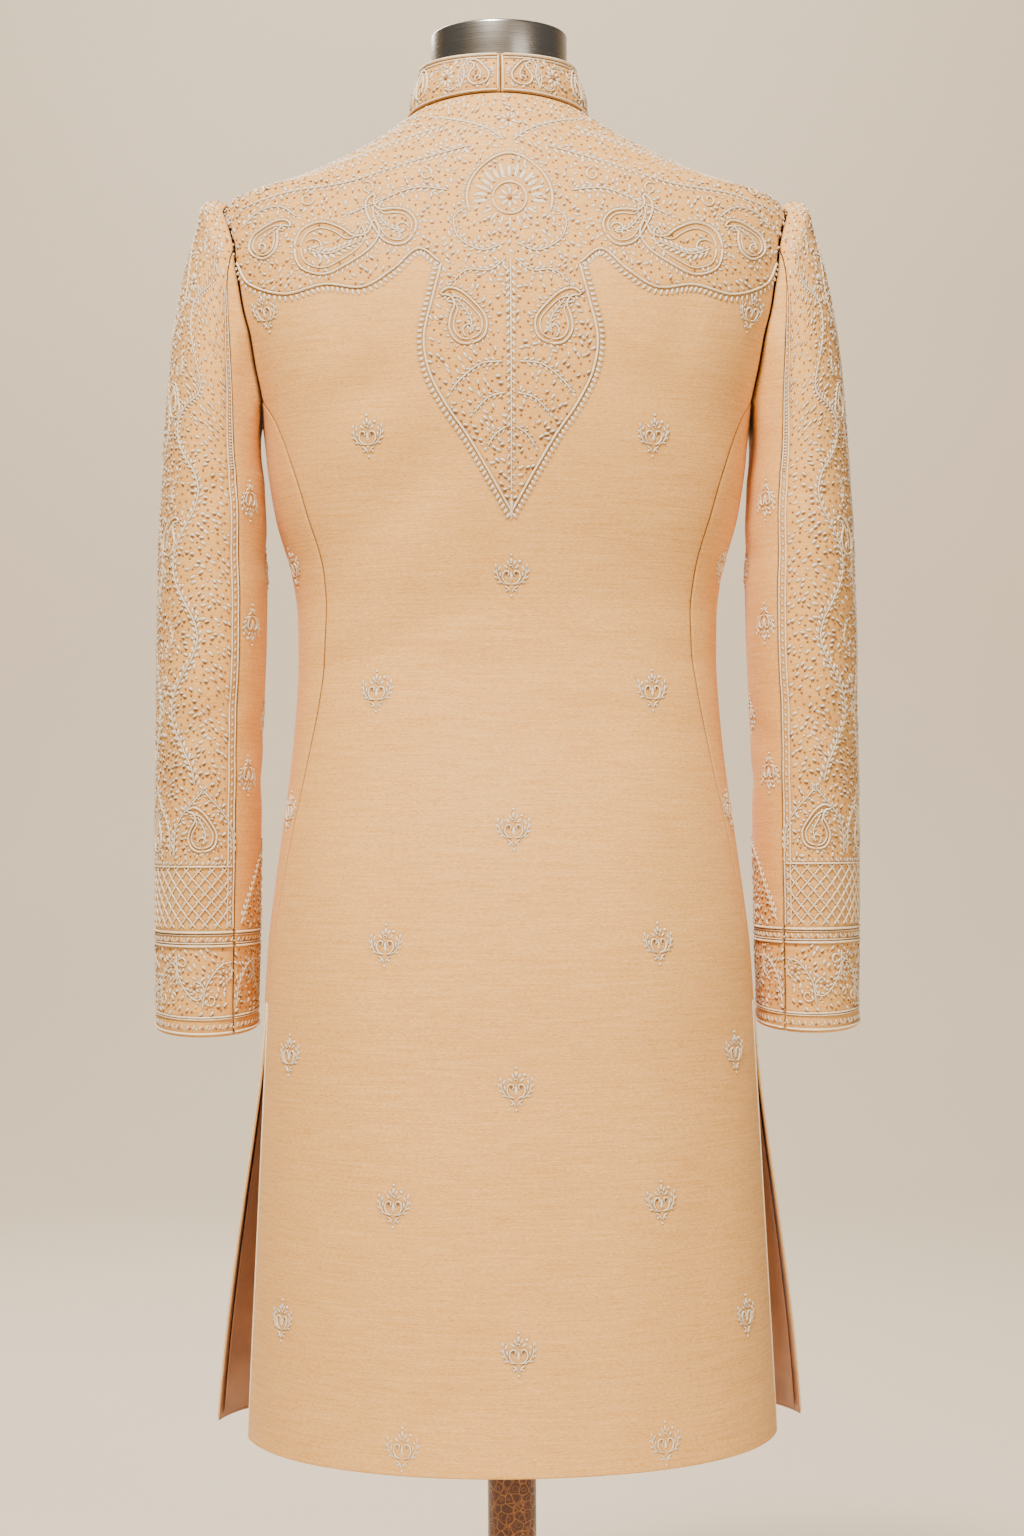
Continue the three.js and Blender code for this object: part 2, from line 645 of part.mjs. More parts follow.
const coat = new THREE.Group();
coat.add(mesh("back", backPanel(), "silk"));
for (const [side, mirrored] of [["left", false], ["right", true]]) {
  coat.add(mesh(`side_${side}`, sidePanel(mirrored), "silk"));
  coat.add(mesh(`front_${side}`, frontPanel(mirrored), "silk"));
  coat.add(mesh(`sleeve_top_${side}`, sleeveHalf(true, mirrored), "silk"));
  coat.add(mesh(`sleeve_under_${side}`, sleeveHalf(false, mirrored), "silk"));
  coat.add(mesh(`collar_${side}`, collarHalf(mirrored), "silk"));
  coat.add(mesh(`lining_${side}`, skirtLining(mirrored), "lining"));
}
for (let k = 0; k < BUTTONS.count; k += 1) {
  const { geometry, place, normal } = button(BUTTONS.top - k * BUTTONS.pitch);
  const fastener = mesh(`button_${k + 1}`, geometry, "button");
  fastener.position.copy(place);
  fastener.quaternion.setFromUnitVectors(new THREE.Vector3(0, 1, 0), normal);
  coat.add(fastener);
}

const dressForm = new THREE.Group();
dressForm.add(mesh("form_torso", formTorso(), "form"));
dressForm.add(mesh("form_neck", neckCap(), "steel"));
dressForm.add(mesh("form_pole", pole(), "wood"));
dressForm.add(mesh("form_base", base(), "steel"));

const part = new THREE.Group();
part.add(coat, dressForm);

export default part;
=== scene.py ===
"""The looks of a sherwani coat on a limbless dress form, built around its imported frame.

Shapes are worked out in millimetres from the same section tables as the CAD part, and become metres in the
meshes. The wearer faces -Y and the wearer's left is +X. A right-hand piece is made as a left one and turned over.
"""
import math

import bpy
import numpy as np
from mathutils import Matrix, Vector
from mathutils.kdtree import KDTree


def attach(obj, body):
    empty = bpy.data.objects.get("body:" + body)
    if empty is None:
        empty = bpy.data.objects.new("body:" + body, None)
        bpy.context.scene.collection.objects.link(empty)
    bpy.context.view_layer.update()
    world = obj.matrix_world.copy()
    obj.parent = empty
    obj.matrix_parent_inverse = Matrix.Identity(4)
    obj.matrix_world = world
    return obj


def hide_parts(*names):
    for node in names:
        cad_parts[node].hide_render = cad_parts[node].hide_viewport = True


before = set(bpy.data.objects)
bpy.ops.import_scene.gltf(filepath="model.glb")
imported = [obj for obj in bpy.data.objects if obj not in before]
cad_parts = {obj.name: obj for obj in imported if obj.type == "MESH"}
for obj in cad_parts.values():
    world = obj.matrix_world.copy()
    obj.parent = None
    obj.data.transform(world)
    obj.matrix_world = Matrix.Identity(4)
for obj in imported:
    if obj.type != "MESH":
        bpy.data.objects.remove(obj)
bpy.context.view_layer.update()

MM = 0.001

# ---- Driving dimensions, as in the CAD part (millimetres) ----
CLOTH = 1.8
LINING = 1.0
SEAM_GAP = 0.3
HEM = 433
SLIT_TOP = 790
UNDERARM = 1255
ARMHOLE_CORNER = 1272
SHOULDER_TIP = 1439
NECK = 1508
COLLAR_TOP = 1550
SLEEVE_HEAD = 1212
CUFF = 762
BEND_LEVEL = 1215
HEAD_ROLL = 8
FRONT_WRAP = 20
WRAP_LIFT = CLOTH + 0.8
WRAP_RISE = 12
LINING_MARGIN = 5
LINING_EASE = 1.4
BUTTONS = {"count": 8, "top": 1440, "pitch": 76, "radius": 7.5, "height": 4.5, "shank": 1.3}
BASE = {"radius": 180, "thickness": 8}
POLE_RADIUS = 20
NECK_CAP = {"radius": 56, "bottom": 1500, "top": 1578, "bevel": 5, "shift": 4.5}
FORM_BOTTOM = 800


def table(columns, rows):
    """Rows with named columns, sorted by the first one."""
    return dict(zip(columns.split(), np.array(sorted(rows), float).T))


# Rings of the body: level at the side, half width, flare of the side and front skirts, depths from the pole to the
# back and front, rises at the centre back and front, how square the ring is, and how far it lies to the left.
BODY = table("level half flare back front riseBack riseFront square shift", [
    (433, 218.5, 28.5, 192, 168, 0, 0, 0.015, 0),
    (500, 215.5, 22.3, 181, 160, 0, 0, 0.015, 0),
    (560, 212.5, 16.3, 173, 154, 0, 0, 0.015, 0),
    (620, 209.5, 10.2, 166, 149, 0, 0, 0.015, 0),
    (680, 206.5, 4.5, 160, 145, 0, 0, 0.015, 0),
    (740, 203.5, 0.8, 154, 141, 0, 0, 0.015, 0),
    (790, 201, 0, 150, 138, 0, 0, 0.015, 0),
    (833, 198, 0, 145, 135, 0, 0, 0.015, 0),
    (866, 194, 0, 139, 132, 0, 0, 0.015, 0),
    (899, 189.5, 0, 133, 129, 0, 0, 0.015, 0),
    (932, 185, 0, 126, 126, 0, 0, 0.015, 0),
    (965, 180.3, 0, 119, 123, 0, 0, 0.015, 0),
    (998, 176.6, 0, 112, 120, 0, 0, 0.015, 0),
    (1031, 173.7, 0, 106, 118, 0, 0, 0.02, 0),
    (1064, 172.2, 0, 102, 116, 0, 0, 0.02, 0),
    (1097, 172.6, 0, 102, 117, 0, 0, 0.02, 0),
    (1130, 176.5, 0, 106, 119, 0, 0, 0.025, 0),
    (1179, 190, 0, 115, 125, 0, 0, 0.03, 0),
    (1215, 196, 0, 121, 128, 0, 0, 0.035, 0),
    (1255, 200.5, 0, 126, 129, 0, 0, 0.04, 0),
    (1300, 214, 0, 128, 127, 0, 0, 0.04, 0),
    (1350, 232, 0, 126, 121, 0, 0, 0.03, 0),
    (1392, 238, 0, 119, 110, 0, 0, 0.02, 0),
    (1420, 236, 0, 112, 101, 0, 0, 0.01, 0),
    (1439, 226, 0, 107, 93, 0, 0, 0, 0),
    (1454, 179, 0, 101, 87, 2, -3, 0, 0.5),
    (1470, 138.5, 0, 94, 82, 5, -7, 0, 1.5),
    (1488, 103, 0, 84, 77, 8, -14, 0, 3.5),
    (1508, 74, 0, 68, 76, 7, -28, 0, 5.5),
])
COLLAR = table("level half back front riseBack riseFront shift", [
    (1508.4, 73.8, 67.8, 75.6, 7, -28, 5.5),
    (1523, 72, 67.5, 73.5, 4.5, -30, 5.5),
    (1538, 67.5, 65.5, 69, 1, -32, 5.5),
    (1550, 62.8, 62.5, 64, -2, -34, 5.5),
])
# Where the armhole cuts the back and the front, in degrees round the body from the centre back, and which part
# of the sleeve head meets it there, in degrees round the sleeve from its outer side.
ARMHOLE = table("level around back front", [
    (1439, 0, 90, 90),
    (1420, 22, 73, 108),
    (1392, 49, 66, 116),
    (1365, 73, 65, 118),
    (1330, 102, 65.5, 118),
    (1300, 126, 70, 113.5),
    (1272, 150, 74.5, 105),
    (1259, 167, 82.5, 97.5),
    (1255, 180, 90, 90),
])
# Seams of the side panel: the back panel's edge, the side panel's own back edge (the slit) and the side-front seam.
SEAMS = table("level back side front", [
    (433, 78, 100, 116),
    (500, 77.8, 96, 115.6),
    (620, 77.6, 88.3, 114.8),
    (740, 77.5, 80, 113.8),
    (790, 77.5, 77.5, 113),
    (850, 75, 75, 112.5),
    (900, 72, 72, 112),
    (940, 69, 69, 112),
    (985, 65, 65, 112),
    (1040, 59.5, 59.5, 111.5),
    (1100, 56.5, 56.5, 111),
    (1150, 56, 56, 110),
    (1190, 57.5, 57.5, 108.5),
    (1226, 61.5, 61.5, 107),
    (1255, 67.5, 67.5, 105.6),
    (1272, 74.5, 74.5, 105),
])
SLEEVE = table("level centre ahead half depth tilt backSeam frontSeam", [
    (1212, 241, 2, 41.5, 73, 0, 124, 238),
    (1146, 242, 3, 44.7, 73, 0, 125, 238),
    (1080, 243.3, 5, 44.7, 71.5, 0, 126, 238),
    (1031, 245, 8, 44.2, 70, 0, 126, 238),
    (966, 246.8, 13, 43.6, 67, 0, 126, 238),
    (900, 248.6, 19, 43.5, 63, 0, 126, 238),
    (833, 249.8, 25, 43, 59, 1, 126, 238),
    (784, 250.6, 29, 42, 56, 4, 126, 238),
    (762, 251, 31, 42.5, 55.5, 6, 126, 238),
])
HEAD_SEAMS = table("share backSeam frontSeam", [
    (0, 49, 258),
    (0.14, 76, 250),
    (0.3, 98, 245),
    (0.6, 116, 240),
    (1, 124, 238),
])
FORM = table("level half back front shift", [
    (800, 188, 137, 126, 0),
    (850, 186, 133, 124, 0),
    (900, 181, 124, 120, 0),
    (1000, 168, 103, 111, 0),
    (1070, 163, 93, 107, 0),
    (1150, 172, 99, 111, 0),
    (1220, 187, 111, 118, 0),
    (1290, 196, 117, 116, 0),
    (1350, 201, 115, 110, 0),
    (1400, 203, 107, 99, 0),
    (1424, 200, 99, 89, 0),
    (1439, 186, 94, 83, 0),
    (1451, 163, 89, 78, 0.5),
    (1466, 124, 82, 72, 1.5),
    (1484, 90, 71, 67, 3),
    (1500, 65, 59, 62, 4.5),
])
# Soft folds: a trough if depth is above zero, a ridge if it is below. across and level say where the middle is,
# lean how many degrees it rises to the left, and length and width where it has faded out. The CAD part has the
# ones that are 2 mm or deeper on the body.
BACK_FOLDS = table("across level lean length width depth", [
    (92, 1180, -46, 150, 26, 4.5),
    (96, 1130, -50, 190, 34, -4),
    (-82, 1136, 40, 110, 30, 2.5),
    (118, 1268, -37, 90, 18, 3.5),
    (-118, 1268, 37, 90, 18, 3.5),
    (-100, 1005, 30, 120, 26, 2),
    (134, 1330, 78, 120, 13, 1.6),
    (-136, 1322, -76, 110, 14, 1.5),
    (60, 1092, -24, 150, 15, 1.2),
    (-48, 1075, 14, 130, 14, 0.9),
    (18, 1048, -6, 120, 12, 0.8),
    (120, 1060, -20, 80, 12, 1.1),
    (-126, 1070, 18, 80, 12, 1.1),
    (96, 880, 84, 210, 26, 1.4),
    (-88, 860, -85, 230, 30, -1.4),
    (12, 780, 88, 260, 34, 1.1),
    (-150, 640, -86, 240, 26, 1.6),
    (146, 620, 86, 260, 28, 1.4),
    (60, 560, 87, 220, 30, -1.6),
    (-50, 540, -88, 240, 30, 1.5),
])
FRONT_FOLDS = table("across level lean length width depth", [
    (112, 1262, -38, 100, 20, 3.5),
    (-112, 1262, 38, 100, 20, 3.5),
    (84, 1120, -28, 120, 28, 2.5),
    (-86, 1112, 30, 110, 28, 2.5),
    (126, 1330, 76, 110, 14, 1.5),
    (-128, 1326, -77, 110, 14, 1.5),
    (70, 1070, -12, 110, 14, 1.1),
    (-72, 1060, 14, 110, 14, 1.1),
    (104, 840, 85, 240, 28, 1.4),
    (-100, 830, -86, 250, 28, 1.4),
    (120, 600, 86, 240, 28, 1.6),
    (-124, 590, -86, 240, 28, 1.6),
])
# The same for a sleeve, with across in degrees round it from its outer side.
SLEEVE_FOLDS = table("across level lean length width depth", [
    (96, 1196, 34, 90, 15, 2.2),
    (118, 1150, 40, 110, 18, 1.8),
    (74, 1080, 20, 90, 16, 1.3),
    (104, 1018, 26, 80, 13, 1.8),
    (60, 995, 12, 90, 15, 1.2),
    (-78, 1030, -18, 80, 14, 1.8),
    (-60, 968, -12, 90, 15, 1.4),
    (84, 952, -16, 80, 14, 1.3),
    (-86, 1190, -30, 90, 16, 2),
    (170, 1150, 10, 80, 15, 2),
    (150, 1000, 20, 90, 16, 1.8),
    (205, 960, -16, 80, 14, 1.8),
    (92, 846, 30, 90, 18, 1.1),
    (-40, 872, 20, 90, 20, 1),
])


# ---- Smooth reading of a table: a monotone cubic through its rows ----
def monotone(x, y):
    slopes = np.diff(y) / np.diff(x)
    before, after = slopes[:-1], slopes[1:]
    same = before * after > 0
    middle = np.where(same, 2 * before * after / np.where(same, before + after, 1), 0)
    tangents = np.concatenate([slopes[:1], middle, slopes[-1:]])

    def read(at):
        at = np.clip(np.asarray(at, float), x[0], x[-1])
        i = np.clip(np.searchsorted(x, at) - 1, 0, len(x) - 2)
        width = x[i + 1] - x[i]
        t = (at - x[i]) / width
        t2, t3 = t * t, t * t * t
        return (y[i] * (2 * t3 - 3 * t2 + 1) + y[i + 1] * (3 * t2 - 2 * t3)
                + width * (tangents[i] * (t3 - 2 * t2 + t) + tangents[i + 1] * (t3 - t2)))

    return read


def curves(rows, key=None):
    key = key or next(iter(rows))
    order = np.argsort(rows[key])
    readers = {name: monotone(rows[key][order], column[order]) for name, column in rows.items() if name != key}
    return lambda at: {name: read(at) for name, read in readers.items()}


body_at = curves(BODY)
collar_at = curves(COLLAR)
armhole_at = curves(ARMHOLE)
armhole_level = monotone(ARMHOLE["around"][::-1], ARMHOLE["level"][::-1])
seams_at = curves(SEAMS)
sleeve_at = curves(SLEEVE)
head_seams_at = curves(HEAD_SEAMS)
form_at = curves(FORM)
# The underarm's depth under each direction of the body.
underarm_level = monotone(np.array([74.5, 82.5, 90, 97.5, 105]), np.array([1272, 1259, 1255, 1259, 1272.0]))


def smooth(t):
    t = np.clip(t, 0, 1)
    return t * t * (3 - 2 * t)


def unit(v):
    return v / np.maximum(np.linalg.norm(v, axis=-1, keepdims=True), 1e-12)


# ---- Surfaces: arrays of two parameters to arrays of points ----
def ring(section, half, angle, level):
    s, c = np.sin(np.radians(angle)), np.cos(np.radians(angle))
    corner = 1 + section.get("square", 0) * 4 * s * s * c * c
    rise = np.where(c > 0, section.get("riseBack", 0), section.get("riseFront", 0))
    depth = np.where(c > 0, section["back"], section["front"])
    x = half * s * corner + section["shift"]
    return np.stack(np.broadcast_arrays(x, depth * c * corner, level + rise * c * c), -1)


def fold_depth(folds, across, level):
    total = np.zeros(np.broadcast(across, level).shape)
    for k, middle in enumerate(folds["across"]):
        lean = math.radians(folds["lean"][k])
        dx, dz = across - middle, level - folds["level"][k]
        along = (dx * math.cos(lean) + dz * math.sin(lean)) / (folds["length"][k] / 2)
        over = (dz * math.cos(lean) - dx * math.sin(lean)) / folds["width"][k]
        uneven = 1 + 0.25 * np.sin(2.6 * along + 1.7 * k)
        total += folds["depth"][k] * uneven * np.exp(-along * along - over * over)
    return total


def body(flared, wrapped=False):
    """The outer face of the coat's body. The skirts flare at side and front. The left front lies on top."""
    def surface(angle, level):
        section = body_at(level)
        half = section["half"] + flared * section["flare"]
        point = ring(section, half, angle, level)
        x, y = point[..., 0], point[..., 1]
        depth = np.where(y > 0, section["back"], section["front"])
        out = unit(np.stack([x / half**2, y / depth**2, np.zeros_like(x)], -1))
        behind, before = (fold_depth(folds, x, point[..., 2]) for folds in (BACK_FOLDS, FRONT_FOLDS))
        folds = np.where(y > 0, behind, before)
        push = -folds * np.minimum(1, np.abs(y) / 40)
        if wrapped:
            push = push + WRAP_LIFT * smooth((FRONT_WRAP + 3 + WRAP_RISE - x) / WRAP_RISE)
        return point + out * push[..., None]

    return surface


def turned_over(surface, mirrored):
    """A right-hand surface of the body, turned over to the left."""
    if not mirrored:
        return surface
    return lambda angle, level: surface(-np.asarray(angle), level) * (-1, 1, 1)


def collar(angle, level):
    section = collar_at(level)
    return ring(section, section["half"], angle, level)


def armhole_loop(surface, around):
    turn = np.mod(around, 360)
    from_top = np.minimum(turn, 360 - turn)
    level = armhole_level(from_top)
    edge = armhole_at(level)
    return surface(np.where(turn > 180, edge["front"], edge["back"]), level)


def sleeve_section(around, level):
    section = sleeve_at(level)
    s, c = np.sin(np.radians(around)), np.cos(np.radians(around))
    point = np.stack(np.broadcast_arrays(
        section["centre"] + section["half"] * c,
        -section["ahead"] + section["depth"] * s,
        level - section["tilt"] * s,
    ), -1)
    out = unit(np.stack(np.broadcast_arrays(c / section["half"], s / section["depth"], 0 * level), -1))
    signed = np.mod(np.asarray(around) + 120, 360) - 120
    push = fold_depth(SLEEVE_FOLDS, signed, np.asarray(level, float))
    return point - out * push[..., None]


def sleeve(body_surface):
    """A sleeve set into one side of the body. down is 0 at the armhole, 1 where the head ends, 2 at the cuff."""
    def surface(around, down):
        around, down = np.broadcast_arrays(np.asarray(around, float), np.asarray(down, float))
        tube = sleeve_section(around, SLEEVE_HEAD + np.maximum(down - 1, 0) * (CUFF - SLEEVE_HEAD))
        edge = armhole_loop(body_surface, around)
        middle = np.stack(np.broadcast_arrays(edge[..., 0], 0, (SHOULDER_TIP + UNDERARM) / 2), -1)
        start = edge + unit(middle - edge) * (SEAM_GAP + 0.2)
        start[..., 0] += SEAM_GAP + 0.2
        d = np.clip(down, 0, 1)[..., None]
        top = (1 + np.cos(np.radians(around))) / 2
        sideways = np.sin(np.radians(around))
        leave = np.stack([12 + 83 * top, 38 * sideways, -30 + 70 * top], -1)
        arrive = np.stack([-6 + 18 * top, 4 * sideways, -45 - 255 * top], -1)
        roll = HEAD_ROLL * top**4 * np.exp(-(((down - 0.13) / 0.09) ** 2)) * math.sqrt(0.5)
        head = (start * (2 * d**3 - 3 * d**2 + 1) + leave * (d**3 - 2 * d**2 + d)
                + tube * (3 * d**2 - 2 * d**3) + arrive * (d**3 - d**2))
        head = head + np.stack([roll, 0 * roll, roll], -1)
        return np.where(down[..., None] > 1, tube, head)

    return surface


def sleeve_seams(down):
    head = head_seams_at(np.minimum(down, 1))
    tube = sleeve_at(SLEEVE_HEAD + np.maximum(np.asarray(down) - 1, 0) * (CUFF - SLEEVE_HEAD))
    return {name: np.where(np.asarray(down) > 1, tube[name], head[name]) for name in ("backSeam", "frontSeam")}


def local_frame(surface, u, v, outward, du=0.4, dv=0.5):
    """Points of a surface, its outward normals, and millimetres for each unit of u and of v."""
    pu = (surface(u + du, v) - surface(u - du, v)) / (2 * du)
    pv = (surface(u, v + dv) - surface(u, v - dv)) / (2 * dv)
    normal = unit(np.cross(pv, pu)) * outward
    return surface(u, v), normal, np.linalg.norm(pu, axis=-1), np.linalg.norm(pv, axis=-1)


# ---- Materials ----
def srgb(red, green, blue):
    """A colour given as sRGB shares of 255, as the shaders take it."""
    channels = [c / 255 for c in (red, green, blue)]
    return tuple(c / 12.92 if c <= 0.04045 else ((c + 0.055) / 1.055) ** 2.4 for c in channels) + (1,)


class Shader:
    """A principled material and short ways to add nodes to it."""

    def __init__(self, name, **inputs):
        self.material = bpy.data.materials.new(name)
        self.material.use_nodes = True
        self.tree = self.material.node_tree
        self.main = self.tree.nodes["Principled BSDF"]
        for socket, value in inputs.items():
            self.main.inputs[socket.replace("_", " ")].default_value = value

    def node(self, kind, inputs=None, **settings):
        made = self.tree.nodes.new(kind)
        for name, value in settings.items():
            setattr(made, name, value)
        for name, value in (inputs or {}).items():
            if isinstance(value, bpy.types.NodeSocket):
                self.tree.links.new(value, made.inputs[name])
            else:
                made.inputs[name].default_value = value
        return made

    def place(self, x, y, z):
        """Object coordinates in metres, stretched by a scale along each axis."""
        coordinates = self.node("ShaderNodeTexCoord").outputs["Object"]
        return self.node("ShaderNodeMapping", {"Vector": coordinates, "Scale": (x, y, z)}).outputs[0]

    def noise(self, vector, scale=1.0, detail=2.0, roughness=0.5):
        inputs = {"Vector": vector, "Scale": scale, "Detail": detail, "Roughness": roughness}
        return self.node("ShaderNodeTexNoise", inputs).outputs[0]

    def ramp(self, factor, *stops):
        made = self.node("ShaderNodeValToRGB", {"Fac": factor})
        elements = made.color_ramp.elements
        for k, (position, value) in enumerate(stops):
            element = elements[k] if k < 2 else elements.new(position)
            element.position = position
            element.color = value if hasattr(value, "__len__") else (value, value, value, 1)
        return made.outputs[0]

    def mix(self, factor, a, b, blend="MIX"):
        made = self.node("ShaderNodeMix", data_type="RGBA", blend_type=blend)
        for index, value in ((0, factor), (6, a), (7, b)):
            if isinstance(value, bpy.types.NodeSocket):
                self.tree.links.new(value, made.inputs[index])
            else:
                made.inputs[index].default_value = value
        return made.outputs[2]

    def maths(self, operation, a, b=0.0):
        return self.node("ShaderNodeMath", {0: a, 1: b}, operation=operation).outputs[0]

    def hollow_shade(self, reach):
        """How much shade to paint into a colour: 1 where the surface lies within reach of something standing beside
        it, 0 in the open.
        """
        shade = self.node("ShaderNodeAmbientOcclusion", {"Distance": reach}, samples=6).outputs[1]
        return self.ramp(shade, (0.5, 1.0), (0.97, 0.0))

    def bump(self, height, strength, distance, before=None):
        inputs = {"Height": height, "Strength": strength, "Distance": distance}
        if before is not None:
            inputs["Normal"] = before
        return self.node("ShaderNodeBump", inputs).outputs[0]

    def set(self, **sockets):
        for name, value in sockets.items():
            self.tree.links.new(value, self.main.inputs[name.replace("_", " ")])
        return self.material


def woven_silk(name, base, dark, light, shade):
    """Raw silk: level slubs, a fine weave and a slow unevenness of the dye, with painted shade in hollows, creases and
    seams.
    """
    s = Shader(name, Sheen_Weight=0.08, Sheen_Roughness=0.45, Sheen_Tint=(1, 0.93, 0.84, 1),
               Specular_IOR_Level=0.3)
    slubs = s.noise(s.place(26, 26, 620), detail=3, roughness=0.62)
    weft = s.noise(s.place(330, 330, 2300), detail=1.5)
    warp = s.noise(s.place(1500, 1500, 210), detail=1)
    cloud = s.noise(s.place(7, 7, 9), detail=2)
    threads = s.maths("MULTIPLY_ADD", slubs, 0.55)
    s.tree.links.new(weft, threads.node.inputs[2])
    tone = s.ramp(s.maths("MULTIPLY", threads, 0.66), (0.36, dark), (0.5, base), (0.66, light))
    tone = s.mix(0.10, tone, s.ramp(warp, (0.35, dark), (0.65, light)))
    tone = s.mix(s.ramp(cloud, (0.35, 0.0), (0.7, 0.16)), tone, dark)
    # painted shade: the silk turns to the shade colour where something stands close, as in seams and creases
    tone = s.mix(s.hollow_shade(0.004), tone, shade)
    rough = s.ramp(slubs, (0.3, 0.74), (0.7, 0.56))
    fine = s.bump(s.mix(0.35, weft, warp), 0.32, 0.00035)
    return s.set(Base_Color=tone, Roughness=rough, Normal=s.bump(slubs, 0.3, 0.0007, fine))


def stitched(name, base, dark, light, roughness):
    """Satin stitches: fine strands across each leaf, with painted shade darkening them at their feet, where they go
    down into the cloth, and in the hollows between them.
    """
    s = Shader(name, Sheen_Weight=0.08, Sheen_Roughness=0.35, Sheen_Tint=(1, 0.95, 0.88, 1),
               Specular_IOR_Level=0.5)
    strand = s.node("ShaderNodeUVMap", uv_map="strand").outputs[0]
    lines = s.node("ShaderNodeTexWave", {"Vector": strand, "Scale": 0.75, "Distortion": 0.6, "Detail": 1.0},
                   bands_direction="DIAGONAL").outputs[1]
    relief = s.node("ShaderNodeAttribute", attribute_name="relief").outputs[2]
    cloud = s.noise(s.place(210, 210, 210), detail=2)
    tone = s.mix(s.ramp(cloud, (0.35, 0.0), (0.65, 1.0)), base, light)
    tone = s.mix(s.maths("MULTIPLY", lines, 0.15), tone, base)
    # painted shade: the low foot of each stitch is darkened towards the dark colour
    tone = s.mix(s.ramp(relief, (0.04, 1.0), (0.3, 0.0)), tone, dark)
    # painted shade: darker where another stitch or the cloth stands close by
    tone = s.mix(s.maths("MULTIPLY", s.hollow_shade(0.002), 0.8), tone, dark)
    rough = s.ramp(cloud, (0.3, roughness + 0.08), (0.7, roughness - 0.06))
    return s.set(Base_Color=tone, Roughness=rough, Normal=s.bump(lines, 0.35, 0.0003))


def wound(name, base, dark, light):
    """Thread wound over a button."""
    s = Shader(name, Specular_IOR_Level=0.5)
    cloud = s.noise(s.place(420, 420, 420), detail=2)
    strands = s.noise(s.place(1800, 1800, 1800), detail=1)
    tone = s.ramp(s.mix(0.5, cloud, strands), (0.35, dark), (0.5, base), (0.65, light))
    rough = s.ramp(cloud, (0.3, 0.48), (0.7, 0.36))
    return s.set(Base_Color=tone, Roughness=rough, Normal=s.bump(strands, 0.4, 0.0002))


def satin(name, base, dark):
    s = Shader(name, Sheen_Weight=0.15, Specular_IOR_Level=0.4)
    weave = s.noise(s.place(900, 900, 1600), detail=1)
    cloud = s.noise(s.place(14, 14, 30), detail=2)
    tone = s.ramp(cloud, (0.3, dark), (0.7, base))
    rough = s.ramp(cloud, (0.3, 0.5), (0.7, 0.4))
    return s.set(Base_Color=tone, Roughness=rough, Normal=s.bump(weave, 0.2, 0.0003))


def brushed_steel(name, tone, roughness):
    """Steel turned and brushed round its axis."""
    s = Shader(name, Metallic=1.0, Specular_IOR_Level=0.5)
    lines = s.noise(s.place(5, 5, 1900), detail=3, roughness=0.7)
    smear = s.noise(s.place(40, 40, 18), detail=3)
    shade = s.ramp(lines, (0.25, tuple(c * 0.72 for c in tone[:3]) + (1,)), (0.75, tone))
    shade = s.mix(s.ramp(smear, (0.35, 0.0), (0.75, 0.22)), shade, tuple(c * 0.6 for c in tone[:3]) + (1,))
    rough = s.mix(s.ramp(smear, (0.3, 0.2), (0.7, 0.8)), s.ramp(lines, (0.3, roughness), (0.7, roughness + 0.12)),
                  (roughness + 0.1,) * 3 + (1,))
    return s.set(Base_Color=shade, Roughness=rough, Normal=s.bump(lines, 0.15, 0.0002))


def ornamented_wood(name, dark, tan):
    """Dark polished wood with a fine all-over ornament of curling lines."""
    s = Shader(name, Coat_Weight=0.25, Coat_Roughness=0.25, Specular_IOR_Level=0.4)
    grain = s.noise(s.place(240, 240, 12), detail=3)
    warped = s.node("ShaderNodeVectorMath", {0: s.place(1, 1, 1)}, operation="ADD")
    s.tree.links.new(s.node("ShaderNodeVectorMath", {
        0: s.node("ShaderNodeTexNoise", {"Vector": s.place(1, 1, 1), "Scale": 90.0}).outputs[1],
        1: (0.006, 0.006, 0.006)}, operation="MULTIPLY").outputs[0], warped.inputs[1])
    cells = s.node("ShaderNodeTexVoronoi", {"Vector": warped.outputs[0], "Scale": 130.0},
                   feature="DISTANCE_TO_EDGE").outputs[0]
    rings = s.node("ShaderNodeTexVoronoi", {"Vector": warped.outputs[0], "Scale": 130.0}, feature="F1").outputs[0]
    curl = s.maths("PINGPONG", rings, 0.17)
    lines = s.mix(0.5, s.ramp(cells, (0.02, 1.0), (0.07, 0.0)), s.ramp(curl, (0.012, 1.0), (0.05, 0.0)), "LIGHTEN")
    ground = s.ramp(grain, (0.3, tuple(c * 0.6 for c in dark[:3]) + (1,)), (0.7, dark))
    tone = s.mix(s.maths("MULTIPLY", lines, 0.75), ground, tan)
    return s.set(Base_Color=tone, Roughness=s.ramp(grain, (0.3, 0.42), (0.7, 0.3)),
                 Normal=s.bump(lines, 0.3, 0.0004))


def plain(name, colour, roughness):
    s = Shader(name, Roughness=roughness, Specular_IOR_Level=0.2)
    tone = s.ramp(s.noise(s.place(1.1, 1.1, 1.1), detail=2),
                  (0.3, tuple(c * 0.97 for c in colour[:3]) + (1,)), (0.7, colour))
    return s.set(Base_Color=tone)


# The last colour given to the silk is its painted shade.
SILK = woven_silk("raw_silk", srgb(235, 174, 92), srgb(213, 151, 71), srgb(248, 198, 122), srgb(108, 64, 26))
LINING_SATIN = satin("lining_satin", srgb(182, 116, 62), srgb(150, 90, 44))
